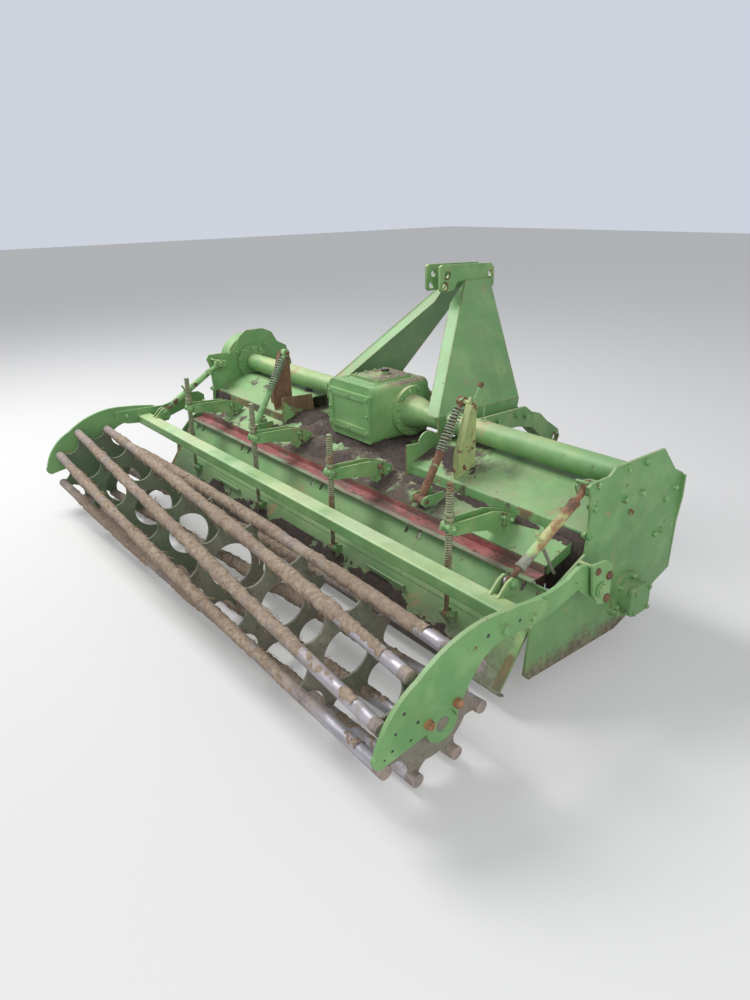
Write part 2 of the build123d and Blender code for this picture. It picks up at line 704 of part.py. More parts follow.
def turnbuckle_screw():
    """Lower screw with its eye; the eye has play on its pin."""
    y, z = turnbuckle_low
    half = turnbuckle_eye_width / 2
    _, _, length = turnbuckle_axis()
    top = turnbuckle_point(handle_at + 10 + screw_stroke)
    screw = rod_between(top, turnbuckle_point(length - 14), screw_radius)
    eye = x_rod(y, z, turnbuckle_x - half, turnbuckle_x + half, turnbuckle_eye_radius - 4)
    reach = half + 1
    hole = x_rod(y, z, turnbuckle_x - reach, turnbuckle_x + reach, low_pin_radius + low_eye_play)
    return screw + eye - hole


def bar_angle(x):
    """Angle of the first roller bar at a place along the roller, in radians."""
    span = disc_half_span + bar_overhang
    return math.radians(bar_phase + bar_twist * (x + span) / (2 * span))


def disc_places():
    """X of each disc."""
    pitch = 2 * disc_half_span / (disc_count - 1)
    return [-disc_half_span + pitch * i for i in range(disc_count)]


def bar_centre(index, x):
    """Centre of a bar at a place along the roller."""
    angle = bar_angle(x) + 2 * math.pi * index / bar_count
    return (x, bar_circle_radius * math.cos(angle), roller_z + bar_circle_radius * math.sin(angle))


def roller_bar(index):
    """One bar, straight from disc to disc."""
    places = disc_places()
    places[0] -= bar_overhang
    places[-1] += bar_overhang
    rings = []
    for x in places:
        _, y, z = bar_centre(index, x)
        rings.append(Plane(origin=(x, y, z), x_dir=(0, 1, 0), z_dir=(1, 0, 0)) * Circle(bar_radius))
    return loft(rings, ruled=True)


def roller_disc(x, hole):
    """Scalloped disc with cradles for the bars."""
    blank = Circle(bar_circle_radius + disc_rim) - Circle(hole)
    start = bar_angle(x)
    for i in range(bar_count):
        angle = start + 2 * math.pi * i / bar_count
        blank -= Pos(bar_circle_radius * math.cos(angle), bar_circle_radius * math.sin(angle)) * Circle(
            bar_radius + seat_gap)
        between = angle + math.pi / bar_count
        reach = bar_circle_radius + scallop_offset
        blank -= Pos(reach * math.cos(between), reach * math.sin(between)) * Circle(scallop_radius)
    plane = Plane(origin=(x - disc_thick / 2, 0, roller_z), x_dir=(0, 1, 0), z_dir=(1, 0, 0))
    return extrude(plane * blank, disc_thick)


def roller_stub():
    """Right hub plate and stub shaft."""
    x_plate = disc_half_span + disc_thick / 2
    plate = x_rod(0, roller_z, x_plate, x_plate + hub_plate_thick, hub_plate_radius)
    return plate + x_rod(0, roller_z, x_plate, crescent_inner_x - 4, stub_radius)


def rotor_shaft():
    """Rotor tube with its blade flanges and end stubs."""
    reach = plate_inner_x - rotor_side_gap
    shaft = x_rod(rotor_y, rotor_z, -reach, reach, rotor_tube_radius)
    stub_end = plate_outer_x + rotor_stub_length - 6
    shaft += x_rod(rotor_y, rotor_z, -stub_end, stub_end, rotor_stub_radius)
    for x in flange_places():
        shaft += x_rod(rotor_y, rotor_z, x - flange_thick / 2, x + flange_thick / 2, flange_radius)
    return shaft


def flange_places():
    """X of each blade flange."""
    reach = plate_inner_x - rotor_side_gap - blade_foot_length - 20
    pitch = 2 * reach / (flange_count - 1)
    return [-reach + pitch * i for i in range(flange_count)]


def blade(side):
    """L-shaped blade: a swept shank on the flange's face and a foot bent along X."""
    tip = blade_tip_radius
    shank = [(-20, blade_root_radius), (22, blade_root_radius), (34, 130), (60, 190), (66, 214),
             (-6, tip - 8), (-24, 150)]
    sole = [(-6, tip - 8), (66, 214), (70, 221), (0, tip - 0.5)]
    x_face = flange_thick / 2
    plate = yz_plate(shank, x_face, x_face + blade_thick)
    foot = yz_plate(sole, x_face, x_face + blade_foot_length)
    shape = plate + foot
    return shape if side > 0 else mirrored(shape)


def rotor_blades():
    """All blades, three to each face of a flange."""
    blades = []
    for n, x in enumerate(flange_places()):
        for i in range(blades_per_flange):
            side = 1 if i % 2 else -1
            if (n == 0 and side < 0) or (n == flange_count - 1 and side > 0):
                side = -side
            turn = 360 * i / blades_per_flange + flange_phase_step * n
            blades.append(Pos(x, rotor_y, rotor_z) * Rot(turn, 0, 0) * blade(side))
    return Compound(children=blades)


def rotor_bearing():
    """Right rotor bearing housing outside the side plate."""
    reach = plate_outer_x + 68
    housing = x_rod(rotor_y, rotor_z, plate_outer_x, reach, 66)
    housing += x_rod(rotor_y, rotor_z, plate_outer_x, plate_outer_x + 16, 92)
    return housing - x_rod(rotor_y, rotor_z, plate_outer_x - 1, plate_outer_x + rotor_stub_length,
                           rotor_stub_radius + running_gap)


def polygon(corners):
    """Flat face with corners given as (X, Y, Z)."""
    return Face(Wire.make_polygon([Vector(*corner) for corner in corners], close=True))


def leg():
    """Right mast leg: a sloping plate with a rear flange and a skirt welded round the beam."""
    x_top = mast_plate_gap / 2 + mast_plate_thick + seat_gap
    fold_z, top_z = beam_z + 33, leg_top_z
    rear_foot, front_foot = beam_y - 83, beam_y + 457
    rear_top, front_top = top_link_hole[0] - 182, top_link_hole[0] - 8
    corners = [(leg_foot_x, rear_foot, fold_z), (leg_foot_x, front_foot, fold_z), (x_top, front_top, top_z),
               (x_top, rear_top, top_z)]
    outward = Vector(top_z - fold_z, 0, leg_foot_x - x_top).normalized()
    slope = Solid.extrude(polygon(corners), outward * leg_thick)
    skirt = yz_plate([(rear_foot, fold_z + 6), (rear_foot, leg_skirt_z), (front_foot - 14, leg_skirt_z),
                      (front_foot, fold_z + 6)], leg_foot_x, leg_foot_x + leg_thick)
    share = (leg_foot_x - leg_flange - x_top) / (leg_foot_x - x_top)
    rear = [(leg_foot_x, rear_foot, fold_z), (x_top, rear_top, top_z),
            (x_top, rear_foot + (rear_top - rear_foot) * share, fold_z + (top_z - fold_z) * share),
            (leg_foot_x - leg_flange, rear_foot, fold_z)]
    flange = Solid.extrude(polygon(rear), Vector(0, leg_thick, 0))
    shape = slope + skirt + flange
    return shape - x_rod(beam_y, beam_z, 0, plate_inner_x, beam_radius + seat_gap)


def build():
    """All nodes by name, before they are moved to the origin."""
    right_leg = leg()
    nodes = {
        "side_plate_right": side_plate() + turnbuckle_lug(),
        "side_plate_left": left_plate() + mirrored(turnbuckle_lug()),
        "side_drive_case": side_drive_case(),
        "beam_right": beam(1),
        "beam_left": beam(-1),
        "gearbox_housing": gearbox_housing(),
        "gearbox_rear_cover": gearbox_rear_cover(),
        "gearbox_top_cover": gearbox_top_cover(),
        "pinion_housing": pinion_housing(),
        "input_shaft": input_shaft(),
        "hood_right": hood_side(1),
        "hood_left": hood_side(-1),
        "hood_middle": hood_middle(),
        "channel_ends": channel_ends(),
        "hinge_strip": hinge_strip(),
        "top_link_plates": top_plates(),
        "mast_leg_right": right_leg,
        "mast_leg_left": mirrored(right_leg),
        "lower_link_right": lower_link(),
        "lower_link_left": mirrored(lower_link()),
        "stay_posts": both(stay_post()),
        "stay_rods": both(spring_stay()),
        "stay_springs": both(stay_spring()),
        "stay_feet": Compound(children=[stay_foot(), mirrored(stay_foot())]),
        "rod_arms": Compound(children=[rod_arm(x) for x in rod_xs]),
        "rod_guides": Compound(children=[rod_guide_block(x) for x in rod_xs]),
        "flap_rods": Compound(children=[flap_rod(x) for x in rod_xs]),
        "rear_flap": flap(),
        "front_arm_right": front_arm(),
        "front_arm_left": mirrored(front_arm()),
        "crescent_right": crescent(),
        "crescent_left": mirrored(crescent()),
        "crossbar": crossbar(),
        "turnbuckle_forks": both(turnbuckle_fork()),
        "roller_bearings": both(roller_bearing()),
        "pivot_brackets": both(pivot_bracket()),
        "turnbuckle_barrels": both(turnbuckle_barrel()),
        "turnbuckle_screws": both(turnbuckle_screw()),
        "roller_bars": Compound(children=[roller_bar(i) for i in range(bar_count)]),
        "roller_discs": Compound(children=[
            roller_disc(x, stub_radius + 12 if abs(x) > disc_half_span - 1 else disc_hole_radius)
            for x in disc_places()]),
        "roller_stubs": both(roller_stub()),
        "rotor_shaft": rotor_shaft(),
        "rotor_blades": rotor_blades(),
        "rotor_bearing": rotor_bearing(),
    }
    return nodes


def origin_of(nodes):
    """Middle of the floor area under the whole machine."""
    boxes = [shape.bounding_box() for shape in nodes.values()]
    low = [min(getattr(b.min, a) for b in boxes) for a in "XYZ"]
    high = [max(getattr(b.max, a) for b in boxes) for a in "XYZ"]
    return Vector((low[0] + high[0]) / 2, (low[1] + high[1]) / 2, low[2])


nodes = build()
origin = origin_of(nodes)
os.makedirs("parts", exist_ok=True)
for name, shape in nodes.items():
    export_step(Pos(-origin.X, -origin.Y, -origin.Z) * shape, f"parts/{name}.step")
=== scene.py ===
"""Rotary hoe with a cage roller: its pieces and materials round the CAD frame, light and camera."""
import random
from math import cos, inf, pi, radians, sin, tau

import bmesh
import bpy
from mathutils import Matrix, Vector, noise
from mathutils.bvhtree import BVHTree


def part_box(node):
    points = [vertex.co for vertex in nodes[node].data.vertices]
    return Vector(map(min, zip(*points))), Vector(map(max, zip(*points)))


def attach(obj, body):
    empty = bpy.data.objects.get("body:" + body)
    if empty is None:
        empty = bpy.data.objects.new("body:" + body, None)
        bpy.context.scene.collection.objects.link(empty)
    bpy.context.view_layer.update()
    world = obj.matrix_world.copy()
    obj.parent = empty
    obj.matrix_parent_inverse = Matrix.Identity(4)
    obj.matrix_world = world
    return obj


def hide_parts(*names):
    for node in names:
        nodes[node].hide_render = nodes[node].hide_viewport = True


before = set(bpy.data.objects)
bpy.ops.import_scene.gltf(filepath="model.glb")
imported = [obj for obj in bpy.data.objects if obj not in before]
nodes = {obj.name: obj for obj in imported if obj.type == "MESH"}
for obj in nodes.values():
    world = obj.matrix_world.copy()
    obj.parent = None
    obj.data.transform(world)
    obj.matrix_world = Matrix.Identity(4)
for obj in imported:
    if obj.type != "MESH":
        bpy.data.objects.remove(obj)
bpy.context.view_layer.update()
dice = random.Random(7)

# The scene's origin in metres of the machine's own axes, where Y = 0 is the roller's axis at rest
ORIGIN = Vector((0, 0.7561, 0.0003))

# Places of the machine in millimetres, as in the part's source; pairs in brackets are Y and Z
PLATE_OUTER_X = 1410
DRIVE_OUTER_X = -PLATE_OUTER_X - 92
BEAM = (1055, 702)
ROTOR = (1040, 245)
ROTOR_FLANGES = 12
ROTOR_FLANGE_REACH = 1278
ROLLER_Z = 236
BAR_COUNT = 8
BAR_CIRCLE, BAR_RADIUS = 213, 23
BAR_REACH = 1467
BAR_PHASE, BAR_TWIST = 154, 53  # degrees
DISC_REACH, DISC_COUNT = 1440, 8
DISC_GAP = 2 * DISC_REACH / (DISC_COUNT - 1)
# X of the seats between which a bar runs straight
BAR_SEATS = [-BAR_REACH, *(-DISC_REACH + DISC_GAP * i for i in range(1, DISC_COUNT - 1)), BAR_REACH]
CRESCENT_OUTER_X = 1515
ROD_XS = (-1055, -328, 328, 1055)
ROD_PIN, ROD_GUIDE = (442, 224), (445, 578)
ROD_TOP_Z = 748
STAY_X = 680
STAY_TOP, STAY_LOW = (872, 885), (648, 508)
TURNBUCKLE_X = 1362
TURNBUCKLE_TOP, TURNBUCKLE_LOW = (800, 728), (415, 497)
HINGE, FLAP_BOTTOM = (604, 406), (375, 75)
HINGE_END_X = 1250
TOP_LINK_HOLES = ((1679, 1290), (1375, 1303), (1362, 1248))
LOWER_PIN = (1740, 500)
LINK_EARS = ((406, -1), (498, 1))  # X on the right side, and the way that the ear's outer face looks
BRACKET_X = 1525.3

FRONT, REAR, UP = Vector((0, 1, 0)), Vector((0, -1, 0)), Vector((0, 0, 1))
OUT = {-1: Vector((-1, 0, 0)), 1: Vector((1, 0, 0))}  # direction out to the left and to the right


def at(x, y, z):
    """A place in millimetres of the machine's axes, in the scene's metres."""
    return Vector((x, y, z)) / 1000 - ORIGIN


# Node graphs


SURFACE = "Principled BSDF"


class Field:
    """A value or a colour in a material's nodes. Operators and methods add nodes that follow it."""

    def __init__(self, graph, socket):
        self.graph, self.socket = graph, socket

    def __add__(self, other):
        return self.graph.math("ADD", self, other)

    def __radd__(self, other):
        return self.graph.math("ADD", other, self)

    def __sub__(self, other):
        return self.graph.math("SUBTRACT", self, other)

    def __rsub__(self, other):
        return self.graph.math("SUBTRACT", other, self)

    def __mul__(self, other):
        return self.graph.math("MULTIPLY", self, other)

    def ramp(self, low, high):
        """0 where the value is below low, 1 where it is above high."""
        return self.graph.field("ShaderNodeMapRange", {"Value": self, "From Min": low, "From Max": high},
                                interpolation_type="SMOOTHSTEP")

    def tones(self, low, high, a, b):
        """Colour a where the value is below low, b where it is above high."""
        return self.graph.mix(self.ramp(low, high), a, b)


class Graph:
    """Short way to build the nodes of a world or a material; colour is the material's colour so far."""

    def __init__(self, owner):
        owner.use_nodes = True
        self.owner, self.nodes, self.links = owner, owner.node_tree.nodes, owner.node_tree.links
        self.colour = None

    def feed(self, socket, value):
        """Links a field to a socket, or sets the socket to a number or a colour."""
        if isinstance(value, Field):
            self.links.new(value.socket, socket)
        else:
            socket.default_value = (*value, 1) if socket.type == "RGBA" else value

    def feed_node(self, name, inputs):
        """Feeds the named inputs of a node."""
        for key, value in inputs.items():
            self.feed(self.nodes[name].inputs[key], value)

    def field(self, kind, inputs=None, output=0, **settings):
        """What a new node gives, by its inputs and settings."""
        made = self.nodes.new(kind)
        for key, value in settings.items():
            setattr(made, key, value)
        self.feed_node(made.name, inputs or {})
        return Field(self, made.outputs[output])

    def math(self, operation, a, b=0, clamp=False):
        return self.field("ShaderNodeMath", {0: a, 1: b}, operation=operation, use_clamp=clamp)

    def most(self, a, b):
        """The larger of two values."""
        return self.math("MAXIMUM", a, b)

    def mix(self, share, a, b):
        """Colour b over colour a; 6, 7 and 2 are the node's sockets for colours."""
        return self.field("ShaderNodeMix", {"Factor": share, 6: a, 7: b}, output=2, data_type="RGBA")

    def coat(self, share, tone):
        """Puts a colour over the colour so far."""
        self.colour = self.mix(share, self.colour, tone)

    def noise(self, scale, detail=4, rough=0.55, stretch=None, warp=0):
        """Noise value from 0 to 1 at a scale per metre."""
        place = self.place()
        if stretch:
            place = self.field("ShaderNodeMapping", {"Vector": place, "Scale": stretch})
        return self.field("ShaderNodeTexNoise", {"Vector": place, "Scale": scale, "Detail": detail,
                                                 "Roughness": rough, "Distortion": warp})

    def place(self):
        return self.field("ShaderNodeTexCoord", output="Object")

    def along(self, axis, vector=None):
        """Place on an axis of the machine in metres, or another vector's part along it."""
        return self.field("ShaderNodeSeparateXYZ", {"Vector": vector or self.place()}, axis)

    def normal(self):
        return self.field("ShaderNodeNewGeometry", output="Normal")

    def across(self, low, high):
        """0 at one place on X and 1 at another, in metres."""
        return self.along("X").ramp(low, high)

    def ragged(self, axis, low, high, scale=11, reach=0.16):
        """0 below one place on an axis and 1 above another, in metres, with an uneven edge."""
        place = self.along(axis)
        return (place + (self.noise(scale, 8) - 0.5) * reach).ramp(low, high)

    def reach_from(self, axes, places):
        """Distance in metres from a line, by two axes of the machine and its places on them."""
        first, second = (self.along(axis) - place for axis, place in zip(axes, places))
        return self.math("SQRT", first * first + second * second)

    def facing_up(self):
        """1 on surfaces that face the sky."""
        return self.along("Z", self.normal()).ramp(0.35, 0.9)

    def edges(self, radius=0.004, low=0.02, high=0.25):
        """1 along sharp edges."""
        rounded = self.field("ShaderNodeBevel", {"Radius": radius}, samples=4)
        dot = self.field("ShaderNodeVectorMath", {0: rounded, 1: self.normal()}, "Value",
                         operation="DOT_PRODUCT")
        return (1 - dot).ramp(low, high)

    def finish(self, rough, relief, strength, distance, metallic=0):
        """The material, from its colour so far, roughness, relief and metal."""
        bump = self.field("ShaderNodeBump", {"Height": relief, "Strength": strength, "Distance": distance})
        self.feed_node(SURFACE, {"Base Color": self.colour, "Roughness": rough, "Metallic": metallic,
                                 "Normal": bump})
        return self.owner


def new_material(name):
    """Node graph of a new material."""
    return Graph(bpy.data.materials.new(name))


# Colours


GREEN = (0.15, 0.312, 0.112)
GREEN_DEEP = (0.102, 0.234, 0.078)
GREEN_PALE = (0.29, 0.475, 0.205)
# pale green painted on faces that look up as a sheen
GREEN_PAINTED_SHEEN = (0.47, 0.6, 0.36)
# darker green laid towards the bottom of a part
GREEN_DARKER_BELOW = (0.098, 0.165, 0.068)
YELLOWED = (0.46, 0.51, 0.215)
# yellowish edge colour: partly worn paint, partly a painted highlight on the edges
YELLOW_EDGE_WEAR_AND_HIGHLIGHT = (0.43, 0.38, 0.18)
BROWN_EDGE = (0.25, 0.15, 0.08)
PRIMER = (0.33, 0.24, 0.15)
RUST = (0.085, 0.047, 0.032)
RUST_DEEP = (0.05, 0.032, 0.025)
RUST_LIGHT = (0.205, 0.112, 0.058)
OCHRE = (0.36, 0.225, 0.105)
RED_BROWN = (0.135, 0.062, 0.038)
SOIL = (0.078, 0.054, 0.043)
SOIL_DARK = (0.042, 0.03, 0.025)
SOIL_GRIT = (0.125, 0.088, 0.07)
SOIL_SPLASH = (0.19, 0.135, 0.1)
SOIL_DRY = (0.375, 0.295, 0.212)
STEEL = (0.24, 0.225, 0.215)
BLACK = (0.018, 0.018, 0.018)


# Paint, laid on layer by layer


def add_green(g, cloudy, up, yellow, painted_sheen):
    """Faded green with a painted highlight that makes faces looking up paler, a painted sheen on them where
    asked, and yellowed stains.
    """
    g.colour = g.noise(1.7, 3).tones(0.3, 0.72, GREEN, GREEN_DEEP)
    g.coat(cloudy.ramp(0.42, 0.75) * 0.35, GREEN_PALE)
    # painted highlight: faces that look up are made paler green
    g.coat(up * 0.3, GREEN_PALE)
    # painted sheen: faces that look up turn pale green where asked, on the crossbar's top
    if painted_sheen:
        g.coat(up * g.noise(2.4, 6).ramp(0.34, 0.56) * painted_sheen, GREEN_PAINTED_SHEEN)
    g.coat(g.noise(3.1, 9, 0.7, warp=0.5).ramp(0.52, 0.74) * 0.28, YELLOWED)
    if yellow:
        faded = g.noise(6, 5, stretch=(0.35, 1, 1)).ramp(0.4, 0.68) * yellow
        g.coat(faded * g.math("ADD", up, 0.2, clamp=True), YELLOWED)


def add_scuffs(g, runs, wear):
    """Runs down to the primer, and pale scuffs."""
    g.coat(runs.ramp(0.54, 0.8) * (0.45 * wear), PRIMER)
    scuffs = g.noise(64, 3, stretch=(0.1, 0.35, 1), warp=0.4).ramp(0.68, 0.76)
    g.coat(scuffs * (0.3 + 0.2 * wear), GREEN_PALE)


def add_rust(g, edge, wear):
    """Chips along the edges, rust specks and ochre blotches; gives where it is rusty."""
    chips = (edge * 0.22 + g.noise(70, 5, 0.65)).ramp(0.66, 0.72)
    spots = g.noise(38, 2, warp=0.6).ramp(0.74 - 0.05 * wear, 0.78 - 0.04 * wear)
    blotches = g.noise(5.5, 9, 0.66, warp=0.4).ramp(0.635 - 0.05 * wear, 0.705 - 0.05 * wear)
    rusty = g.most(chips * wear, spots)
    g.coat(blotches * 0.6, OCHRE)
    g.coat(rusty, g.noise(160).tones(0.4, 0.6, RUST, RUST_LIGHT))
    return rusty


def soil_cover(g, until, near):
    """Where soil may lie: left of a ragged line, or near a point; None for everywhere."""
    if near:
        x, y, inner, outer = near
        mean = 0.08
        away = g.reach_from("XY", at(x, y, 0)[:2]) + g.noise(14, 7) * (2 * mean)
        return 1 - away.ramp(inner + mean, outer + mean)
    return 1 - g.ragged("X", *until, scale=6, reach=0.5) if until else None


def add_soil(g, up, soil, cover, tones):
    """Soil that settled on faces that look up, where cover lets it; gives where it lies."""
    settled = g.noise(7.5, 10, 0.62, warp=0.3).ramp(0.62 - 0.28 * soil, 0.7 - 0.22 * soil) * up
    if cover:
        settled = settled * cover
    g.coat(settled, g.noise(190).tones(0.35, 0.65, *tones))
    return settled


def add_left_rust(g, runs, share):
    """Rust where the paint has flaked off on the machine's left; gives where it is."""
    flaked = g.noise(7, 9, 0.62, warp=0.3).ramp(0.62 - 0.25 * share, 0.65 - 0.22 * share)
    flaked = flaked * g.across(0.01, -0.01)
    g.coat(flaked * 0.9, runs.tones(0.4, 0.6, RED_BROWN, RUST_LIGHT))
    return flaked


def add_rear_soil(g, cloudy, share):
    """Brown smears on faces that look to the rear; gives where they are."""
    smear = (g.along("Y", g.normal()) * -1).ramp(0.5, 0.9)
    smear = smear * g.noise(6, 9, 0.65).ramp(0.6 - 0.3 * share, 0.66 - 0.2 * share)
    g.coat(smear * 0.85, cloudy.tones(0.3, 0.7, SOIL, RUST_LIGHT))
    return smear


def add_splash(g, heights, tones):
    """Soil thrown up from below, solid under the first height and gone over the second; gives where it is."""
    low = 1 - g.ragged("Z", *heights)
    g.coat(low * 0.85, g.noise(55, 8).tones(0.35, 0.62, *tones))
    return low


def paint(name, soil=0, yellow=0, wear=0.5, splash=None, edge_wear_and_highlight_tone=GREEN_PALE, soil_until=None,
          soil_near=None, rear_soil=0, left_rust=0, painted_sheen=0, folds=False,
          grit_tones=(SOIL_DARK, SOIL_GRIT), splash_tones=(SOIL_SPLASH, SOIL)):
    """Old pale green paint: a painted highlight that makes faces looking up paler, a painted sheen where asked,
    chipped at its edges, pale edges that are partly wear and partly a painted highlight, with rust specks, dust
    and soil.
    """
    g = new_material(name)
    cloudy, up = g.noise(9, 6), g.facing_up()
    runs = g.noise(26, 6, stretch=(1, 1, 0.16))
    add_green(g, cloudy, up, yellow, painted_sheen)
    add_scuffs(g, runs, wear)
    if splash:
        # darker green towards the bottom, reaching 0.3 m above the soil splash
        g.coat((1 - g.ragged("Z", splash[0], splash[1] + 0.3)) * 0.45, GREEN_DARKER_BELOW)
    edge = g.edges(0.009, 0.004, 0.05) if folds else g.edges()
    # pale edges: partly worn paint, partly a painted highlight along the edges; brown edge colours are wear
    # only
    g.coat(edge * g.noise(12, 6).ramp(0.36, 0.58) * 0.75, edge_wear_and_highlight_tone)
    rusty = add_rust(g, edge, wear)
    dirt = up * g.noise(5, 8).ramp(0.38, 0.7) * 0.3
    g.coat(dirt, SOIL_DRY)
    if soil:
        dirt = g.most(dirt, add_soil(g, up, soil, soil_cover(g, soil_until, soil_near), grit_tones))
    if left_rust:
        dirt = g.most(dirt, add_left_rust(g, runs, left_rust))
    if rear_soil:
        dirt = g.most(dirt, add_rear_soil(g, cloudy, rear_soil))
    if splash:
        dirt = g.most(dirt, add_splash(g, splash, splash_tones))
    rough = g.math("ADD", 0.38 + cloudy * 0.25, g.most(rusty, dirt) * 0.45, clamp=True)
    relief = g.noise(320, 2) * 0.25 - rusty * 0.6 + dirt * g.noise(75, 8, 0.7) * 1.6
    return g.finish(rough, relief, 0.35, 0.0015)


# Other materials


def rusted(name, bare=0, painted=(0, 0), coat=(GREEN_PALE, YELLOWED), tone=RUST, light=RUST_LIGHT):
    """Rusty steel with bare worn places, and old paint whose share differs left and right."""
    g = new_material(name)
    mottled, grain = g.noise(42, 8, 0.7), g.noise(260)
    g.colour = mottled.tones(0.35, 0.65, tone, light)
    g.coat(grain.ramp(0.5, 0.75) * 0.5, RUST_DEEP)
    worn = g.noise(24, 7, 0.66).ramp(0.66 - 0.35 * bare, 0.74 - 0.3 * bare)
    metal = worn * (1 if bare else 0)
    g.coat(metal, STEEL)
    left, right = painted
    share = g.across(-0.01, 0.01) * (right - left) + left
    covered = (g.noise(17, 6, warp=0.4) + share * 0.42).ramp(0.7, 0.75)
    g.coat(covered, mottled.tones(0.4, 0.7, *coat))
    rough = 0.88 - (metal * 0.35 + covered * 0.3)
    relief = mottled * 0.7 + grain * 0.4 + covered * 0.4
    return g.finish(rough, relief, 0.45, 0.001, metallic=metal * 0.8 * (1 - covered))


def barrel_paint(name):
    """Turnbuckle barrel: rusty at its top, yellowed in the middle, greyish below; the left one greener."""
    g = new_material(name)
    mottled = g.noise(34, 8, 0.7)
    rusty = mottled.tones(0.35, 0.65, RUST, (0.27, 0.135, 0.065))
    middle = g.noise(19, 7, warp=0.5).tones(0.43, 0.58, (0.42, 0.43, 0.19), (0.27, 0.165, 0.075))
    middle = g.noise(9, 5).tones(0.5, 0.66, middle, GREEN_PALE)
    low = mottled.tones(0.38, 0.72, (0.22, 0.235, 0.185), (0.17, 0.125, 0.085))
    right = g.mix(g.ragged("Z", 0.56, 0.575, 16, 0.03), low, middle)
    right = g.mix(g.ragged("Z", 0.655, 0.675, 16, 0.05), right, rusty)
    green = mottled.tones(0.3, 0.7, GREEN, GREEN_PALE)
    left = g.noise(21, 7, warp=0.5).tones(0.56, 0.66, green, RUST)
    g.colour = g.mix(g.across(-0.01, 0.01), left, right)
    return g.finish(0.55 + mottled * 0.35, g.noise(120, 7), 0.4, 0.0012)


def roller_steel(name):
    """Roller tube: greyish dust over steel, rubbed bright near its right end; its very ends are soiled."""
    g = new_material(name)
    patchy = g.noise(7, 8, 0.6, stretch=(0.6, 1.6, 1.6))
    along = g.along("X")
    polished = (along + (patchy - 0.5) * 1.1).ramp(0.95, 1.25) * along.ramp(1.438, 1.426)
    scratches = g.noise(120, 3, stretch=(0.06, 1, 1))
    steel = scratches.tones(0.35, 0.7, (0.33, 0.31, 0.33), (0.46, 0.44, 0.47))
    film = g.noise(19, 6, 0.6).ramp(0.44, 0.7)
    steel = g.mix(film * 0.65, steel, (0.26, 0.215, 0.195))
    crust = g.noise(60, 9, 0.7)
    g.colour = crust.tones(0.36, 0.66, (0.18, 0.145, 0.13), (0.29, 0.245, 0.22))
    g.coat(g.noise(11, 6).ramp(0.45, 0.7) * 0.7, SOIL_DRY)
    g.coat(polished, steel)
    shine = polished * (1 - film * 0.7)
    return g.finish(0.93 - shine * 0.42, crust * (1 - shine), 0.5, 0.0015, metallic=shine * 0.6)


def disc_paint(name):
    """Dull dark green discs under grey-brown dust, with scoured rims."""
    g = new_material(name)
    broad, fine = g.noise(4, 6, 0.6), g.noise(48, 8, 0.7)
    green = broad.tones(0.35, 0.65, (0.09, 0.15, 0.075), (0.125, 0.15, 0.092))
    brown = broad.tones(0.35, 0.65, (0.12, 0.135, 0.09), (0.18, 0.158, 0.12))
    g.colour = g.mix(g.across(-1, 0.9), green, brown)
    g.coat(fine.ramp(0.42, 0.66) * (g.across(-1.2, 1.2) + 0.25) * 0.5, (0.235, 0.205, 0.165))
    g.coat(g.noise(17, 9, 0.7).ramp(0.58, 0.66) * 0.7, SOIL)
    edge = g.edges(0.003, 0.02, 0.2)
    g.coat(edge * 0.85, (0.4, 0.385, 0.33))
    return g.finish(0.92 - edge * 0.4, fine, 0.5, 0.0015)


def dry_soil(name, light=SOIL_DRY, deep=(0.2, 0.145, 0.102), crumbs=(0.46, 0.395, 0.305)):
    """Dry crumbly soil."""
    g = new_material(name)
    clods, broad, fine = g.noise(55, 10, 0.72), g.noise(8), g.noise(420)
    g.colour = clods.tones(0.35, 0.68, deep, light)
    g.coat(broad.ramp(0.4, 0.65) * 0.45, deep)
    g.coat(fine.ramp(0.55, 0.8) * 0.5, crumbs)
    return g.finish(0.9 + fine * 0.08, clods + fine * 0.35, 1, 0.004)


def red_strip(name):
    """Faded red paint on the hinge strip; its rear lip is worn to grey-tan steel and soil."""
    g = new_material(name)
    red_part = g.ragged("Y", -0.168, -0.16, 14, 0.03)
    cloudy = g.noise(22, 8, 0.65, stretch=(0.5, 1, 1))
    red = cloudy.tones(0.32, 0.66, (0.215, 0.05, 0.045), (0.33, 0.125, 0.11))
    red = g.noise(48, 6).tones(0.56, 0.66, red, RUST)
    soiled = g.noise(7, 9, 0.68, stretch=(0.6, 1.4, 1)).ramp(0.46, 0.58)
    red = g.mix(soiled * 0.9, red, (0.125, 0.08, 0.062))
    tan = g.noise(40, 8, stretch=(0.4, 1, 1))
    tan = tan.tones(0.35, 0.65, (0.255, 0.215, 0.16), (0.165, 0.155, 0.11))
    tan = g.noise(5, 6).tones(0.48, 0.6, tan, (0.19, 0.27, 0.14))
    g.colour = g.mix(red_part, tan, red)
    g.coat(g.edges() * 0.6, (0.42, 0.4, 0.3))
    return g.finish(0.62 + cloudy * 0.3, g.noise(150, 6), 0.35, 0.001)


def worn_blades(name):
    """Blade steel: brown near the flange, scoured bright at the tips."""
    g = new_material(name)
    patchy = g.noise(30, 7, 0.65)
    bright = (g.reach_from("YZ", at(0, *ROTOR)[1:]) + (patchy - 0.5) * 0.12).ramp(0.15, 0.21)
    grooves = g.noise(150, 3, stretch=(0.15, 1, 1))
    steel = grooves.tones(0.35, 0.65, STEEL, (0.4, 0.385, 0.37))
    g.colour = g.mix(bright, patchy.tones(0.35, 0.65, RUST, (0.2, 0.15, 0.11)), steel)
    return g.finish(0.9 - bright * 0.45, patchy + grooves * 0.3, 0.4, 0.001, metallic=bright * 0.8)


def black_plastic(name):
    """Dull black plastic with dust."""
    g = new_material(name)
    dust = g.facing_up() * g.noise(45, 6).ramp(0.35, 0.7)
    g.colour = g.mix(dust * 0.6, BLACK, SOIL_DRY)
    return g.finish(0.45 + dust * 0.4, g.noise(500), 0.1, 0.0005)


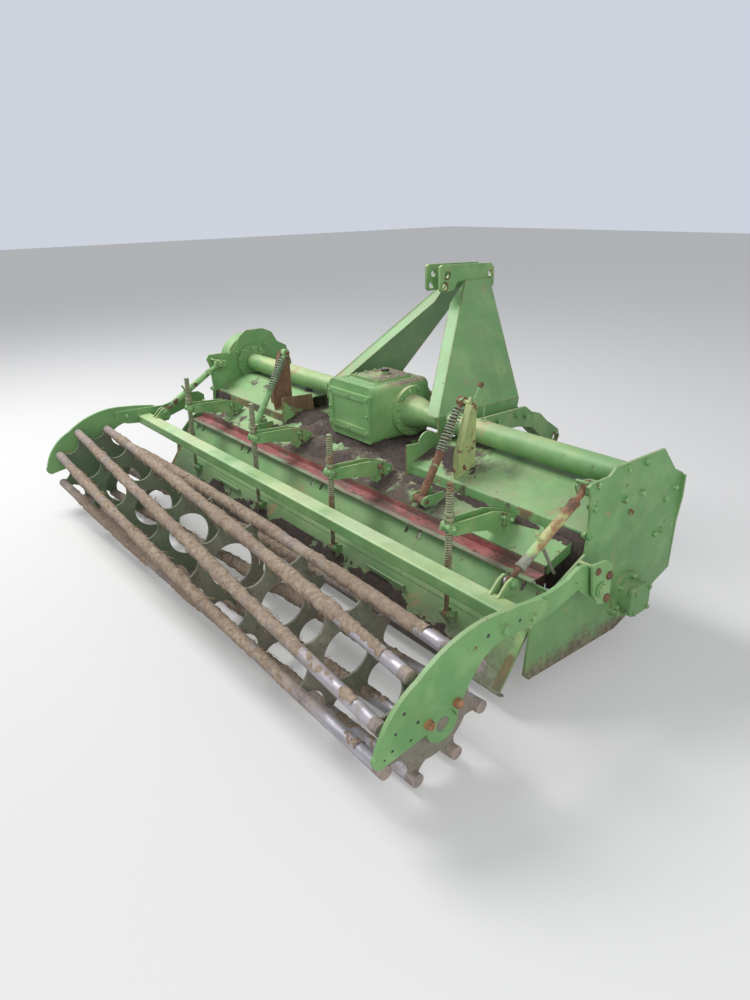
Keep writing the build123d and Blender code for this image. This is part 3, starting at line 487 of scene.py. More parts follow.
PAINTS = {  # settings of paint() for each green paint
    "paint": {},
    "paint_plate": dict(wear=0.6, splash=(0.11, 0.19), edge_wear_and_highlight_tone=(0.36, 0.29, 0.14)),
    "paint_deck_right": dict(soil=0.62, soil_until=(0.62, 0.95), wear=1, rear_soil=0.25),
    "paint_deck_left": dict(soil=0.28, rear_soil=0.85),
    "paint_middle": dict(soil=0.95, wear=0.7),
    "paint_box": dict(wear=0.35, yellow=0.5),
    "paint_box_top": dict(soil=1, wear=0.35, yellow=0.5, soil_near=(15, 1060, 0.1, 0.21),
                          grit_tones=((0.115, 0.08, 0.06), (0.225, 0.17, 0.13))),
    "paint_mast": dict(edge_wear_and_highlight_tone=BROWN_EDGE, folds=True),
    "paint_yellow": dict(yellow=0.9, wear=0.8),
    "paint_bar": dict(yellow=0.75, wear=0.8, edge_wear_and_highlight_tone=YELLOW_EDGE_WEAR_AND_HIGHLIGHT),
    # the crossbar's top gets a painted sheen
    "paint_crossbar": dict(yellow=0.5, wear=0.8, painted_sheen=0.75, edge_wear_and_highlight_tone=YELLOW_EDGE_WEAR_AND_HIGHLIGHT),
    "paint_flap": dict(wear=0.9, splash=(0.09, 0.24), yellow=0.2,
                       splash_tones=((0.225, 0.225, 0.165), (0.15, 0.135, 0.098))),
    "paint_arm": dict(wear=0.45),
    "paint_ends": dict(yellow=0.6, wear=1, rear_soil=0.6, left_rust=0.65, edge_wear_and_highlight_tone=BROWN_EDGE),
}
RUSTS = {  # settings of rusted() for each rusty steel
    "rust": {},
    "rust_worn": dict(bare=0.35),
    "rust_orange": dict(tone=(0.19, 0.085, 0.04), light=(0.36, 0.19, 0.085)),
    "bolt": dict(painted=(0.92, 0.74), coat=(GREEN_DEEP, GREEN_PALE), light=(0.24, 0.14, 0.07)),
    "rims": dict(painted=(0.55, 0.55), coat=(GREEN, YELLOWED)),
    "rods": dict(bare=0.15, painted=(0.62, 0.5), coat=((0.2, 0.25, 0.13), (0.27, 0.24, 0.14)),
                 tone=(0.14, 0.085, 0.05), light=(0.25, 0.165, 0.09)),
    "threads": dict(bare=0.1, painted=(0.95, 0.62), coat=((0.21, 0.26, 0.14), (0.31, 0.28, 0.16)),
                    tone=(0.17, 0.105, 0.055), light=(0.3, 0.21, 0.11)),
    "grooves": dict(tone=(0.045, 0.03, 0.02), light=(0.085, 0.055, 0.035)),
    "posts": dict(painted=(0.12, 0.74), coat=((0.33, 0.37, 0.15), (0.24, 0.31, 0.13)), tone=RED_BROWN),
    "tubes": dict(painted=(1, 0.12), coat=(GREEN, GREEN_PALE), tone=RED_BROWN),
    "coils": dict(bare=0.3, painted=(1, 0.85), coat=((0.15, 0.19, 0.125), (0.27, 0.31, 0.22))),
}
SOILS = {  # settings of dry_soil() for each soil
    "soil": {},
    "soil_dark": dict(light=(0.08, 0.058, 0.048), deep=SOIL_DARK, crumbs=(0.16, 0.12, 0.095)),
    "straw": dict(light=(0.48, 0.38, 0.23), deep=(0.27, 0.2, 0.12), crumbs=(0.58, 0.48, 0.31)),
}


def all_materials():
    """Every material by its name."""
    single = {"discs": disc_paint, "barrel": barrel_paint, "roller": roller_steel, "red": red_strip,
              "blades": worn_blades, "black": black_plastic}
    made = {name: look(name) for name, look in single.items()}
    for look, table in ((paint, PAINTS), (rusted, RUSTS), (dry_soil, SOILS)):
        made.update({name: look(name, **settings) for name, settings in table.items()})
    return made


MATERIAL_NODES = {  # the CAD nodes that wear each material
    "paint": "stay_feet roller_bearings",
    "paint_plate": "side_plate_right side_plate_left side_drive_case rotor_bearing",
    "paint_deck_right": "hood_right",
    "paint_deck_left": "hood_left",
    "paint_middle": "hood_middle",
    "paint_box": "gearbox_rear_cover pinion_housing",
    "paint_box_top": "gearbox_housing gearbox_top_cover",
    "paint_mast": "mast_leg_right mast_leg_left",
    "paint_yellow": "top_link_plates lower_link_right lower_link_left pivot_brackets",
    "paint_bar": "beam_right beam_left rod_arms turnbuckle_forks",
    "paint_crossbar": "crossbar",
    "paint_flap": "rear_flap",
    "paint_arm": "front_arm_right front_arm_left crescent_right crescent_left",
    "paint_ends": "channel_ends",
    "discs": "roller_discs roller_stubs",
    "rust": "turnbuckle_screws rotor_shaft",
    "rust_worn": "input_shaft",
    "bolt": "rod_guides",
    "rods": "flap_rods",
    "posts": "stay_posts",
    "tubes": "stay_rods",
    "coils": "stay_springs",
    "barrel": "turnbuckle_barrels",
    "roller": "roller_bars",
    "red": "hinge_strip",
    "blades": "rotor_blades",
}


def dress_nodes():
    """Gives each CAD node its material."""
    for key, names in MATERIAL_NODES.items():
        for name in names.split():
            slots = nodes[name].data.materials
            slots.clear()
            slots.append(materials[key])


# Mesh tools. Points and lines are in the scene's metres, as at() gives them; sizes are in millimetres.


def new_object(name, data):
    """Object in the scene."""
    made = bpy.data.objects.new(name, data)
    bpy.context.scene.collection.objects.link(made)
    return made


def new_piece(name, bm, material, body="frame", smooth=True):
    """Turns a bmesh into an object that rides on a body."""
    mesh = bpy.data.meshes.new(name)
    for face in bm.faces:
        face.smooth = smooth
    bm.to_mesh(mesh)
    bm.free()
    mesh.materials.append(materials[material])
    piece = new_object(name, mesh)
    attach(piece, body)
    return piece


def square_to(axis):
    """Two unit vectors square to an axis."""
    axis = axis.normalized()
    side = axis.cross(UP if abs(axis.z) < 0.9 else FRONT).normalized()
    return side, axis.cross(side)


def on_circle(pair, angle):
    """Unit vector at an angle from the first of two directions to the second."""
    return pair[0] * cos(angle) + pair[1] * sin(angle)


def round_angles(count):
    """Angles of a full turn in equal steps."""
    return [tau * k / count for k in range(count)]


def yz_axis(start, end):
    """Unit direction between two (Y, Z) places and their distance in millimetres."""
    direction = Vector((0, end[0] - start[0], end[1] - start[1]))
    return direction.normalized(), direction.length


def heading(line, i):
    """Direction of a line at one of its points."""
    return line[min(i + 1, len(line) - 1)] - line[max(i - 1, 0)]


def add_skin(bm, rows, closed=False, flip=False):
    """Faces between rows of points; closed joins each row's ends, flip turns the faces over."""
    count = len(rows[0])
    for a, b in zip(rows, rows[1:]):
        for k in range(count if closed else count - 1):
            n = (k + 1) % count
            bm.faces.new((a[k], a[n], b[n], b[k]) if flip else (a[k], b[k], b[n], a[n]))


def add_surface(bm, rows, closed=False, flip=False):
    """Skin through rows of places; gives the rows of its points."""
    made = [[bm.verts.new(place) for place in row] for row in rows]
    add_skin(bm, made, closed, flip)
    return made


def add_rings(bm, line, frames, radii, sides):
    """Closed skin of rings along a line, by two directions and a radius in metres at each point."""
    angles = round_angles(sides)
    rings = [[centre + u * (radius * cos(a)) + v * (radius * sin(a)) for a in angles]
             for centre, (u, v), radius in zip(line, frames, radii)]
    rings = add_surface(bm, rings, closed=True, flip=True)
    bm.faces.new(rings[0][::-1])
    bm.faces.new(rings[-1])


def add_turned(bm, start, axis, profile, sides=24):
    """Turned solid; the profile lists distances along the axis and radii."""
    axis = axis.normalized()
    line = [start + axis * (along / 1000) for along, _ in profile]
    add_rings(bm, line, [square_to(axis)] * len(line), [radius / 1000 for _, radius in profile], sides)


def add_wire(bm, line, radius, sides=8):
    """Round wire along a line."""
    frames = [square_to(heading(line, 0))]
    for i in range(1, len(line)):
        ahead = heading(line, i).normalized()
        u = frames[-1][0]
        u = (u - ahead * u.dot(ahead)).normalized()
        frames.append((u, ahead.cross(u)))
    add_rings(bm, line, frames, [radius / 1000] * len(line), sides)


def add_wire_ring(bm, centre, axis, radius, wire):
    """Round ring of wire."""
    pair, sides = square_to(Vector(axis).normalized()), 28
    line = [centre + on_circle(pair, tau * k / sides) * (radius / 1000) for k in range(sides + 1)]
    add_wire(bm, line, wire)


def add_hexagon(bm, line, pair, across):
    """Hexagon along four points, chamfered at its end; across flats in metres."""
    corner = across / 2 / cos(pi / 6)
    add_rings(bm, line, [pair] * 4, [corner, corner, corner * 0.88, corner * 0.3], 6)


def add_bolt(bm, place, axis, across, washer=True, stud=0):
    """Hexagon head on a washer, with the stud's end where it is a nut."""
    if washer:
        rim = across * 0.62
        add_turned(bm, place, axis, [(0, rim), (across * 0.1, rim), (across * 0.12, across * 0.58)], 20)
    turn = Matrix.Rotation(dice.uniform(0, pi / 3), 3, axis)
    flats = across / 1000
    base = place + axis * (flats * 0.12 if washer else 0)
    line = [base, *(base + axis * flats * height for height in (0.5, 0.58, 0.58))]
    add_hexagon(bm, line, [turn @ direction for direction in square_to(axis)], flats)
    if stud:
        add_turned(bm, base + axis * flats * 0.5, axis,
                   [(0, across * 0.27), (stud * 0.85, across * 0.27), (stud, across * 0.2)], 14)


def add_bolt_circle(bm, x, centre, radius, places, side, across, first=0.5, used=None, washer=True):
    """Bolts in equal steps round a (Y, Z) centre, out to one side; first is in steps too."""
    for k in range(used or places):
        angle = tau * (k + first) / places
        y, z = centre[0] + radius * cos(angle), centre[1] + radius * sin(angle)
        add_bolt(bm, at(x, y, z), OUT[side], across, washer)


def add_nut(bm, place, axis, across, height):
    """Flat hexagon nut."""
    height /= 1000
    line = [place + axis * h for h in (0, height * 0.85, height, height)]
    add_hexagon(bm, line, square_to(axis), across / 1000)


def add_pin(bm, place, out, washer, thick, pin, reach, tip=2, bevel=1, sides=20):
    """Washer and a pin's end: their radii, the washer's thickness, the pin's reach and how its tip narrows."""
    profile = [(0, washer), (thick, washer), (thick + 0.5, pin), (reach - bevel, pin), (reach, pin - tip)]
    add_turned(bm, place, out, profile, sides)


def add_ring(bm, start, axis, inner, outer, width):
    """Ring with bevelled outer edges."""
    pair, bevel = square_to(axis), 1
    profile = ((0, inner), (width, inner), (width, outer - bevel), (width - bevel, outer), (bevel, outer),
               (0, outer - bevel))
    rows = [[bm.verts.new(start + axis * (along / 1000) + on_circle(pair, a) * (radius / 1000))
             for a in round_angles(28)] for along, radius in profile]
    add_skin(bm, rows + rows[:1], closed=True)


def add_thread(bm, start, axis, length, pitch, root, crest):
    """Screw thread round an axis."""
    steps, sunk = 20, root - 0.6
    profile = ((sunk, -0.4), (crest, -0.14), (crest, 0.14), (sunk, 0.4))  # radius, share of the pitch
    pair = square_to(axis)
    rows = []
    for i in range(int(length / pitch * steps) + 1):
        out = on_circle(pair, tau * i / steps)
        centre = start + axis * (pitch * i / steps / 1000)
        rows.append([centre + out * (radius / 1000) + axis * (pitch * share / 1000)
                     for radius, share in profile])
    add_surface(bm, rows)


def add_weld(bm, points, size):
    """Lumpy weld bead along points."""
    size /= 1000
    line = []
    for start, end in zip(points, points[1:]):
        steps = max(2, int((end - start).length / (size * 0.55)))
        line += [start.lerp(end, i / steps) for i in range(steps)]
    line.append(points[-1])
    count = range(len(line))
    radii = [size * (0.42 + 0.13 * sin(i * 2.1) + dice.uniform(-0.05, 0.05)) for i in count]
    add_rings(bm, line, [square_to(heading(line, i)) for i in count], radii, 6)


def add_yz_weld(bm, x, places, size):
    """Weld bead through (Y, Z) places."""
    add_weld(bm, [at(x, *place) for place in places], size)


def add_grid(bm, grid, steps, steepest=inf):
    """Faces over a grid of (point, height) pairs, by the steps to a face's other corners."""
    for i, j in grid:
        corners = [grid.get((i + di, j + dj)) for di, dj in ((0, 0), *steps)]
        if all(corners):
            heights = [height for _, height in corners]
            if max(heights) - min(heights) < steepest:
                bm.faces.new([point for point, _ in corners])


def smooth_path(points, steps):
    """Points of a smooth curve through the given ones."""
    path = []
    extended = [points[0] * 2 - points[1], *points, points[-1] * 2 - points[-2]]
    for i in range(1, len(extended) - 2):
        p0, p1, p2, p3 = extended[i - 1:i + 3]
        for k in range(steps):
            t = k / steps
            path.append(0.5 * ((2 * p1) + (p2 - p0) * t + (2 * p0 - 5 * p1 + 4 * p2 - p3) * t ** 2
                               + (3 * p1 - p0 - 3 * p2 + p3) * t ** 3))
    path.append(points[-1])
    return path


# Springs, rods and threads


def stay_coils():
    """The coil springs of both stays, with a seat at each end."""
    down, length = yz_axis(STAY_TOP, STAY_LOW)
    low, high = 36, length * 0.5 - 4
    coil_radius, wire, turns, steps = 20.5, 4, 13, 22
    pair = square_to(down)
    bm = bmesh.new()
    for side in OUT:
        top = at(side * STAY_X, *STAY_TOP)
        line = []
        for i in range(turns * steps + 1):
            share = i / (turns * steps)
            eased = share - 0.01 * sin(tau * share * 2)
            along = low + wire + (high - low - 2 * wire) * eased
            line.append(top + (down * along + on_circle(pair, tau * i / steps) * coil_radius) / 1000)
        add_wire(bm, line, wire)
        for seat in (low - 5, high):
            profile = [(0, 10.5), (0.5, 23.5), (4.5, 24.5), (5, 10.5)]
            add_turned(bm, top + down * seat / 1000, down, profile, 28)
    piece = new_piece("coil_springs", bm, "coils", "frame")
    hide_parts("stay_springs")


def stay_collars():
    """Rims and welds on the stays' tubes."""
    down, length = yz_axis(STAY_TOP, STAY_LOW)
    bm = bmesh.new()
    for side in OUT:
        rim = at(side * STAY_X, *STAY_TOP) + down * (length * 0.5 + 1) / 1000
        add_turned(bm, rim, down, [(0, 16.8), (1, 19.2), (10, 19.2), (12, 17.2)], 28)
        for way, out in OUT.items():
            add_turned(bm, at(side * STAY_X + way * 31, *STAY_LOW), out, [(0, 11), (8.5, 11), (10.5, 8.5)], 20)
    new_piece("stay_collars", bm, "tubes")


def add_rod_nuts(bm, foot, up):
    """Two nuts on a rod, each turned its own way."""
    u, v = square_to(up)
    for lift in (0, 0.0185):
        turn = dice.uniform(0, 1)
        pair = (u * cos(turn) + v * sin(turn), v * cos(turn) - u * sin(turn))
        line = [foot + up * (lift + h) for h in (0, 0.0015, 0.0155, 0.017)]
        add_rings(bm, line, [pair] * 4, [0.0178, 0.0198, 0.0198, 0.0178], 6)


def threaded_rods():
    """The flap's rods with a coarse thread, an eye, a smooth shank and nuts."""
    up, to_guide = yz_axis(ROD_PIN, ROD_GUIDE)
    shank, top = 172, (ROD_TOP_Z - ROD_PIN[1]) / up.z
    root, crest, pitch = 10.8, 14.2, 10
    bm, threads, grooves = bmesh.new(), bmesh.new(), bmesh.new()
    for x in ROD_XS:
        foot = at(x, *ROD_PIN)
        add_ring(bm, at(x - 12, *ROD_PIN), OUT[1], 8.3, 15.8, 24)
        add_turned(bm, foot + up * 0.012, up, [(0, 9), (shank - 12, 9)], 20)
        add_turned(grooves, foot + up * ((shank - 2) / 1000), up, [(0, 9), (2, root), (top - shank - 4, root)])
        add_turned(threads, foot + up * ((top - 7) / 1000), up, [(0, 12.5), (5, 12.5), (6.9, 10.5)])
        add_thread(threads, foot + up * ((shank + 4) / 1000), up, top - shank - 10, pitch, root, crest)
        add_rod_nuts(bm, foot + up * (to_guide + 23.5) / 1000, up)
    piece = new_piece("threaded_rods", bm, "rods", "rods")
    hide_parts("flap_rods")
    new_piece("rod_threads", threads, "threads", "rods")
    new_piece("rod_grooves", grooves, "grooves", "rods")


# Y and Z from the pin that a spring clip sits on
CLIP_LINE = ((3, 18), (-1, -4), (-12, -20), (-4, -34), (12, -30), (13, -14), (8, 2), (16, 20))


def rod_pins():
    """Pin ends, washers and spring clips of the rods' arms and ears."""
    on_arms, on_flap, clips = bmesh.new(), bmesh.new(), bmesh.new()
    arm_pin, arm_bolt = (691, 556), (747, 527)
    for x in ROD_XS:
        for side, out in OUT.items():
            face = x + side * 29.2
            add_pin(on_arms, at(face, *ROD_GUIDE), out, 15.5, 3, 9, 9, sides=24)
            add_pin(on_flap, at(x + side * 21.2, *ROD_PIN), out, 13, 2.5, 8, 12)
            add_pin(on_arms, at(face, *arm_pin), out, 13, 3, 8, 18, bevel=2)
            add_pin(on_arms, at(face, *arm_bolt), out, 12, 3, 7, 10)
        centre = at(x + 42, *arm_pin)
        line = [centre + Vector((0, y / 1000, z / 1000)) for y, z in CLIP_LINE]
        add_wire(clips, smooth_path(line, 6), 1.6, 6)
    new_piece("rod_arm_pins", on_arms, "bolt")
    new_piece("flap_pins", on_flap, "bolt", "flap")
    new_piece("spring_clips", clips, "rust_worn")


def turnbuckle_trim():
    """Collars on the barrels, and the threaded screws with their eyes."""
    down, length = yz_axis(TURNBUCKLE_TOP, TURNBUCKLE_LOW)
    start, root, crest, pitch = 308, 9.6, 10.8, 7
    collars, screws = bmesh.new(), bmesh.new()
    for side in OUT:
        top = at(side * TURNBUCKLE_X, *TURNBUCKLE_TOP)
        for along, width, radius in ((68, 12, 20.5), (262, 14, 20), (372, 13, 20)):
            add_ring(collars, top + down * along / 1000, down, 16, radius, width)
        core = [(0, 9), (2, root), (length - start - 14, root)]
        add_turned(screws, top + down * (start / 1000), down, core, 20)
        add_thread(screws, top + down * ((start + 6) / 1000), down, length - start - 36, pitch, root, crest)
        add_ring(screws, at(side * TURNBUCKLE_X - 12, *TURNBUCKLE_LOW), OUT[1], 12.5, 20, 24)
    new_piece("barrel_collars", collars, "barrel", "barrels")
    piece = new_piece("threaded_screws", screws, "rust_worn", "screws")
    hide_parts("turnbuckle_screws")


# Bolts and welds


PLATE_BOLTS_RIGHT = (  # Y, Z, width across flats
    (959, 775, 22), (1072, 771, 22), (1069, 655, 22), (959, 656, 22), (1009, 593, 18), (1244, 579, 20),
    (1198, 445, 18), (1238, 450, 18), (792, 751, 20), (784, 669, 20), (767, 569, 20), (1305, 610, 18),
)
PLATE_BOLTS_LEFT = (
    (959, 775, 22), (1150, 800, 20), (1072, 580, 22), (790, 740, 20), (784, 669, 20), (767, 569, 20),
    (900, 770, 18), (1230, 560, 20), (1300, 480, 20), (830, 480, 18),
)
BRACKET_NUTS = ((735, 478, 28, 9), (734, 392, 28, 9), (668, 515, 22, 8))  # Y, Z, width across flats, height
ARM_BOLTS = (  # Y, Z, width across flats, rusty
    (39, 304, 26, True), (-72, 284, 26, True), (228, 475, 26, False), (358, 462, 22, False),
)
ARM_HOLES = ((162, 478, 7), (301, 474, 6), (-111, 311, 6), (-161, 366, 6), (-192, 313, 5), (-204, 262, 5),
             (-137, 262, 5), (-232, 246, 4))  # Y, Z, radius


def plate_bolts():
    """Bolts through the side plates and round the beam's flanges."""
    bm = bmesh.new()
    for side, table in ((1, PLATE_BOLTS_RIGHT), (-1, PLATE_BOLTS_LEFT)):
        for y, z, across in table:
            add_bolt(bm, at(side * PLATE_OUTER_X, y, z), OUT[side], across)
            add_bolt(bm, at(side * (PLATE_OUTER_X - 10), y, z), -OUT[side], across, stud=6)
    add_bolt_circle(bm, -1380, BEAM, 88, 10, 1, 20)
    add_bolt_circle(bm, -219, BEAM, 104, 12, -1, 19, washer=False)
    add_bolt_circle(bm, 174, BEAM, 104, 12, 1, 19, washer=False)
    new_piece("plate_bolts", bm, "bolt", "frame", smooth=False)


def bearing_bolts():
    """Bolts of the rotor bearing, the side drive case and the pinion housing."""
    bm = bmesh.new()
    add_bolt_circle(bm, PLATE_OUTER_X + 16, ROTOR, 79, 6, 1, 19, first=0.3)
    add_bolt_circle(bm, DRIVE_OUTER_X - 14, ROTOR, 52, 8, -1, 13, first=0, washer=False)
    add_bolt_circle(bm, DRIVE_OUTER_X, BEAM, 152, 22, -1, 17, first=-1, used=13)
    for k in range(4):
        for side in OUT:
            add_bolt(bm, at(DRIVE_OUTER_X, ROTOR[0] + side * (116 + 8 * k), 300 + 100 * k), OUT[-1], 17)
    for k in range(8):
        angle = tau * (k + 0.5) / 8
        place = at(86 * cos(angle), 1190, BEAM[1] + 86 * sin(angle))
        add_bolt(bm, place, FRONT, 15, washer=False)
    new_piece("bearing_bolts", bm, "bolt", "frame", smooth=False)


def bracket_bolts():
    """Nuts on the pivot brackets and collars on the pivot pins."""
    bracket, pins = bmesh.new(), bmesh.new()
    for side, out in OUT.items():
        add_ring(pins, at(side * BRACKET_X, 695, 440), out, 20.2, 27.5, 10)
        for y, z, across, height in BRACKET_NUTS:
            add_nut(bracket, at(side * BRACKET_X, y, z), out, across, height)
    new_piece("bracket_bolts", bracket, "rust", smooth=False)
    new_piece("pivot_collars", pins, "bolt")


def gearbox_bolts():
    """Bolts of the gearbox's rear and top covers."""
    bm = bmesh.new()
    inset, across = 0.015, 13
    low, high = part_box("gearbox_rear_cover")
    columns = [low[0] + inset + (high[0] - low[0] - 2 * inset) * k / 2 for k in range(3)]
    places = [(x, z) for x in columns for z in (low[2] + inset, high[2] - inset)]
    places += [(x, low[2] + (high[2] - low[2]) * 0.5) for x in (low[0] + inset, high[0] - inset)]
    for x, z in places:
        add_bolt(bm, Vector((x, low[1], z)), REAR, across)
    low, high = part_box("gearbox_top_cover")
    top = at(0, 0, 854).z
    for k in range(4):
        y = low[1] + inset + (high[1] - low[1] - 2 * inset) * k / 3
        for x in (low[0] + inset, high[0] - inset):
            add_bolt(bm, Vector((x, y, top)), UP, across, washer=False)
    new_piece("gearbox_bolts", bm, "paint_box", "frame", smooth=False)


def breather():
    """Black cap on the gearbox's breather."""
    bm = bmesh.new()
    add_turned(bm, at(-22, 1040, 868), UP, [(0, 17.5), (1, 20.5), (10, 20.5), (13.5, 17), (13.8, 4)], 28)
    new_piece("breather_cap", bm, "black", "frame")


def arm_bolts():
    """Bolts of the crescents and front arms, and black discs on their empty holes as painted shade."""
    green, rusty, holes = bmesh.new(), bmesh.new(), bmesh.new()
    for side, out in OUT.items():
        for y, z, across, is_rusty in ARM_BOLTS:
            add_bolt(rusty if is_rusty else green, at(side * CRESCENT_OUTER_X, y, z), out, across)
        # black discs painted as the shade inside the empty holes
        for y, z, radius in ARM_HOLES:
            disc = [(0, radius), (0.2, radius - 0.5)]
            add_turned(holes, at(side * CRESCENT_OUTER_X, y, z), out, disc, 16)
        for y, z in ((228, 475), (301, 468)):
            add_bolt(green, at(side * 1485, y, z), -out, 24, stud=8)
        for y, z in ((39, 304), (-72, 284)):
            add_bolt(rusty, at(side * 1488, y, z), -out, 22)
    new_piece("arm_bolts", green, "paint_arm", "roller_frame", smooth=False)
    new_piece("hub_bolts", rusty, "rust_orange", "roller_frame", smooth=False)
    new_piece("arm_hole_shades", holes, "black", "roller_frame")


def link_bolts():
    """Bolts of the lower link forks."""
    bm = bmesh.new()
    for side in OUT:
        for x, way in LINK_EARS:
            for y, z in ((1300, 673), (1431, 678), (1500, 660)):
                add_bolt(bm, at(side * x, y, z), OUT[side * way], 24)
    new_piece("link_bolts", bm, "bolt", smooth=False)


def blade_bolts():
    """Two bolts through each blade's root; the blades of the end flanges all look inwards."""
    bm = bmesh.new()
    blades, twist = 6, 17  # blades on a flange, and degrees from one flange to the next
    for n in range(ROTOR_FLANGES):
        x = -ROTOR_FLANGE_REACH + 2 * ROTOR_FLANGE_REACH * n / (ROTOR_FLANGES - 1)
        inwards = {0: 1, ROTOR_FLANGES - 1: -1}.get(n)
        for i in range(blades):
            side = inwards or (1 if i % 2 else -1)
            turn = radians(360 / blades * i + twist * n)
            for y, z in ((-6, 78), (12, 98)):
                place = (x + side * 14, ROTOR[0] + y * cos(turn) - z * sin(turn),
                         ROTOR[1] + y * sin(turn) + z * cos(turn))
                add_bolt(bm, at(*place), OUT[side], 20, washer=False)
    new_piece("blade_bolts", bm, "rust", "rotor", smooth=False)


def frame_welds():
    """Weld beads of the rods' arms, the stays, the top link plates and the mast's legs on the beam."""
    bm = bmesh.new()
    for x in ROD_XS:
        for side in OUT:
            add_yz_weld(bm, x + side * 21, ((731, 499), (761, 509)), 7)
            add_yz_weld(bm, x + side * 21, ((677, 481), (705, 490)), 7)
    angles = [pi * k / 12 for k in range(-4, 17)]
    round_beam = [(BEAM[0] + 53 * cos(a), BEAM[1] + 53 * sin(a)) for a in angles]
    for side in OUT:
        for x in (STAY_X + 32, STAY_X + 42):
            add_yz_weld(bm, side * x, ((808, 566.5), (917, 606)), 8)
        for x in (STAY_X - 38.5, STAY_X + 38.5):
            add_yz_weld(bm, side * x, ((692, 484), (743, 502)), 7)
        add_yz_weld(bm, side * 56, ((1500, 1262), (1668, 1262)), 10)
        add_yz_weld(bm, side * 441, round_beam, 10)
    new_piece("frame_welds", bm, "paint", "frame")


def arm_welds():
    """Weld beads of the front arms, the crescents and the turnbuckles' ears."""
    bm = bmesh.new()
    for side in OUT:
        add_yz_weld(bm, side * 1484, ((299, 471), (369, 471), (373, 467), (373, 425)), 9)
        add_yz_weld(bm, side * 1500.5, ((195, 511), (300, 508)), 8)
        for x in (1339.5, 1384.5):
            add_yz_weld(bm, side * x, ((350, 471), (372, 471)), 7)
    new_piece("arm_welds", bm, "paint_bar", "roller_frame")


# Small fittings


# X from the right stay's side, Y and Z of the ring pin's handle
HANDLE_LINE = ((0, 886, 884), (3, 905, 918), (4, 925, 950), (6, 940, 925), (5, 950, 865), (3, 951, 812))
# X, Y and Z from a turnbuckle's upper pin
SHACKLE_LINE = ((-30, 0, 4), (-28, -22, 24), (-10, -40, 33), (14, -38, 33), (30, -20, 25), (32, 0, 5))


def pin_fittings():
    """Pin ends, shackles and linch pins of the turnbuckles, and the ring pin on the right stay."""
    green, wire, arm_wire = bmesh.new(), bmesh.new(), bmesh.new()
    for side in OUT:
        y, z = TURNBUCKLE_TOP
        for way in OUT:
            out = OUT[side * way]
            add_pin(green, at(side * (TURNBUCKLE_X + 24 * way), y, z), out, 18, 4, 12.5, 9, tip=2.5, sides=24)
            low_face = at(side * (TURNBUCKLE_X + 22.2 * way), *TURNBUCKLE_LOW)
            add_pin(arm_wire, low_face, out, 16, 3, 10.5, 12, sides=24)
        loop = [at(side * (TURNBUCKLE_X + dx), y + dy, z + dz) for dx, dy, dz in SHACKLE_LINE]
        add_wire(green, smooth_path(loop, 6), 5.5)
        add_wire_ring(wire, at(side * (TURNBUCKLE_X - 33), y - 8, z - 20), (0.5, 0.6, 0.2), 19, 1.8)
        y, z = TURNBUCKLE_LOW
        add_wire_ring(arm_wire, at(side * (TURNBUCKLE_X - 31), y - 10, z - 20), (0.6, 0.5, 0.1), 18, 1.8)
    x = STAY_X + 46
    add_wire(green, smooth_path([at(x + dx, y, z) for dx, y, z in HANDLE_LINE], 8), 3.4)
    add_wire_ring(green, at(x + 3, 951, 800), (0.4, 0.1, 1), 13, 2.6)
    new_piece("shackles", green, "paint_yellow", "frame")
    new_piece("linch_pins", wire, "rust_worn")
    new_piece("lower_linch_pins", arm_wire, "bolt", "roller_frame")


def stay_knob():
    """Knob of the ring pin on the right stay."""
    bm = bmesh.new()
    add_turned(bm, at(STAY_X + 41, 925, 952), OUT[1], [(0, 4), (1, 10), (12, 11.5), (18, 10), (19, 3)], 18)
    new_piece("stay_knob", bm, "rust")


def plate_rims():
    """Welded rims round the holes of the top link plates and the lower link ears."""
    bm = bmesh.new()
    for side, out in OUT.items():
        for y, z in TOP_LINK_HOLES:
            add_ring(bm, at(side * 55, y, z), out, 16.5, 23.5, 3.5)
        for x, way in LINK_EARS:
            add_ring(bm, at(side * x, *LOWER_PIN), out * way, 19, 29, 4)
    new_piece("hole_rims", bm, "rims")


def bearing_cover():
    """Squarish bolted cover on the right rotor bearing, with a grease plug behind it."""
    bm = bmesh.new()
    x, (y, z) = PLATE_OUTER_X + 68, ROTOR
    half, square = 62, 5  # half of its width, and how square it is
    rows = []
    for depth, scale in ((-12, 1), (-1, 1), (5, 0.97), (8, 0.88)):
        row = []
        for c, s in ((cos(a), sin(a)) for a in round_angles(48)):
            reach = half * scale / (abs(c) ** square + abs(s) ** square) ** (1 / square)
            row.append(at(x + depth, y + reach * c, z + reach * s))
        rows.append(row)
    bm.faces.new(add_surface(bm, rows, closed=True, flip=True)[-1])
    for c, s in ((1, 1), (1, -1), (-1, 1), (-1, -1)):
        add_bolt(bm, at(x + 5, y + 43 * c, z + 43 * s), OUT[1], 16)
    plug = [(0, 13), (28, 13), (30, 11), (40, 11), (42, 8)]
    add_turned(bm, at(PLATE_OUTER_X, y - 84, z - 46), OUT[1], plug, 20)
    new_piece("bearing_cover", bm, "paint_plate", "frame", smooth=False)


def gearbox_ribs():
    """Cast ribs on the gearbox."""
    bm = bmesh.new()
    low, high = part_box("gearbox_housing")
    top = high[2]
    for x in (low[0] + 0.052, high[0] - 0.052):
        add_weld(bm, [Vector((x, low[1] + 0.05, top)), Vector((x, high[1] - 0.04, top))], 12)
    y = low[1] + 0.055
    add_weld(bm, [Vector((low[0] + 0.06, y, top)), Vector((high[0] - 0.06, y, top))], 11)
    new_piece("gearbox_ribs", bm, "paint_box", "frame")


# Soil


def clamp(value):
    """The value, but not under 0 or over 1."""
    return min(1, max(0, value))


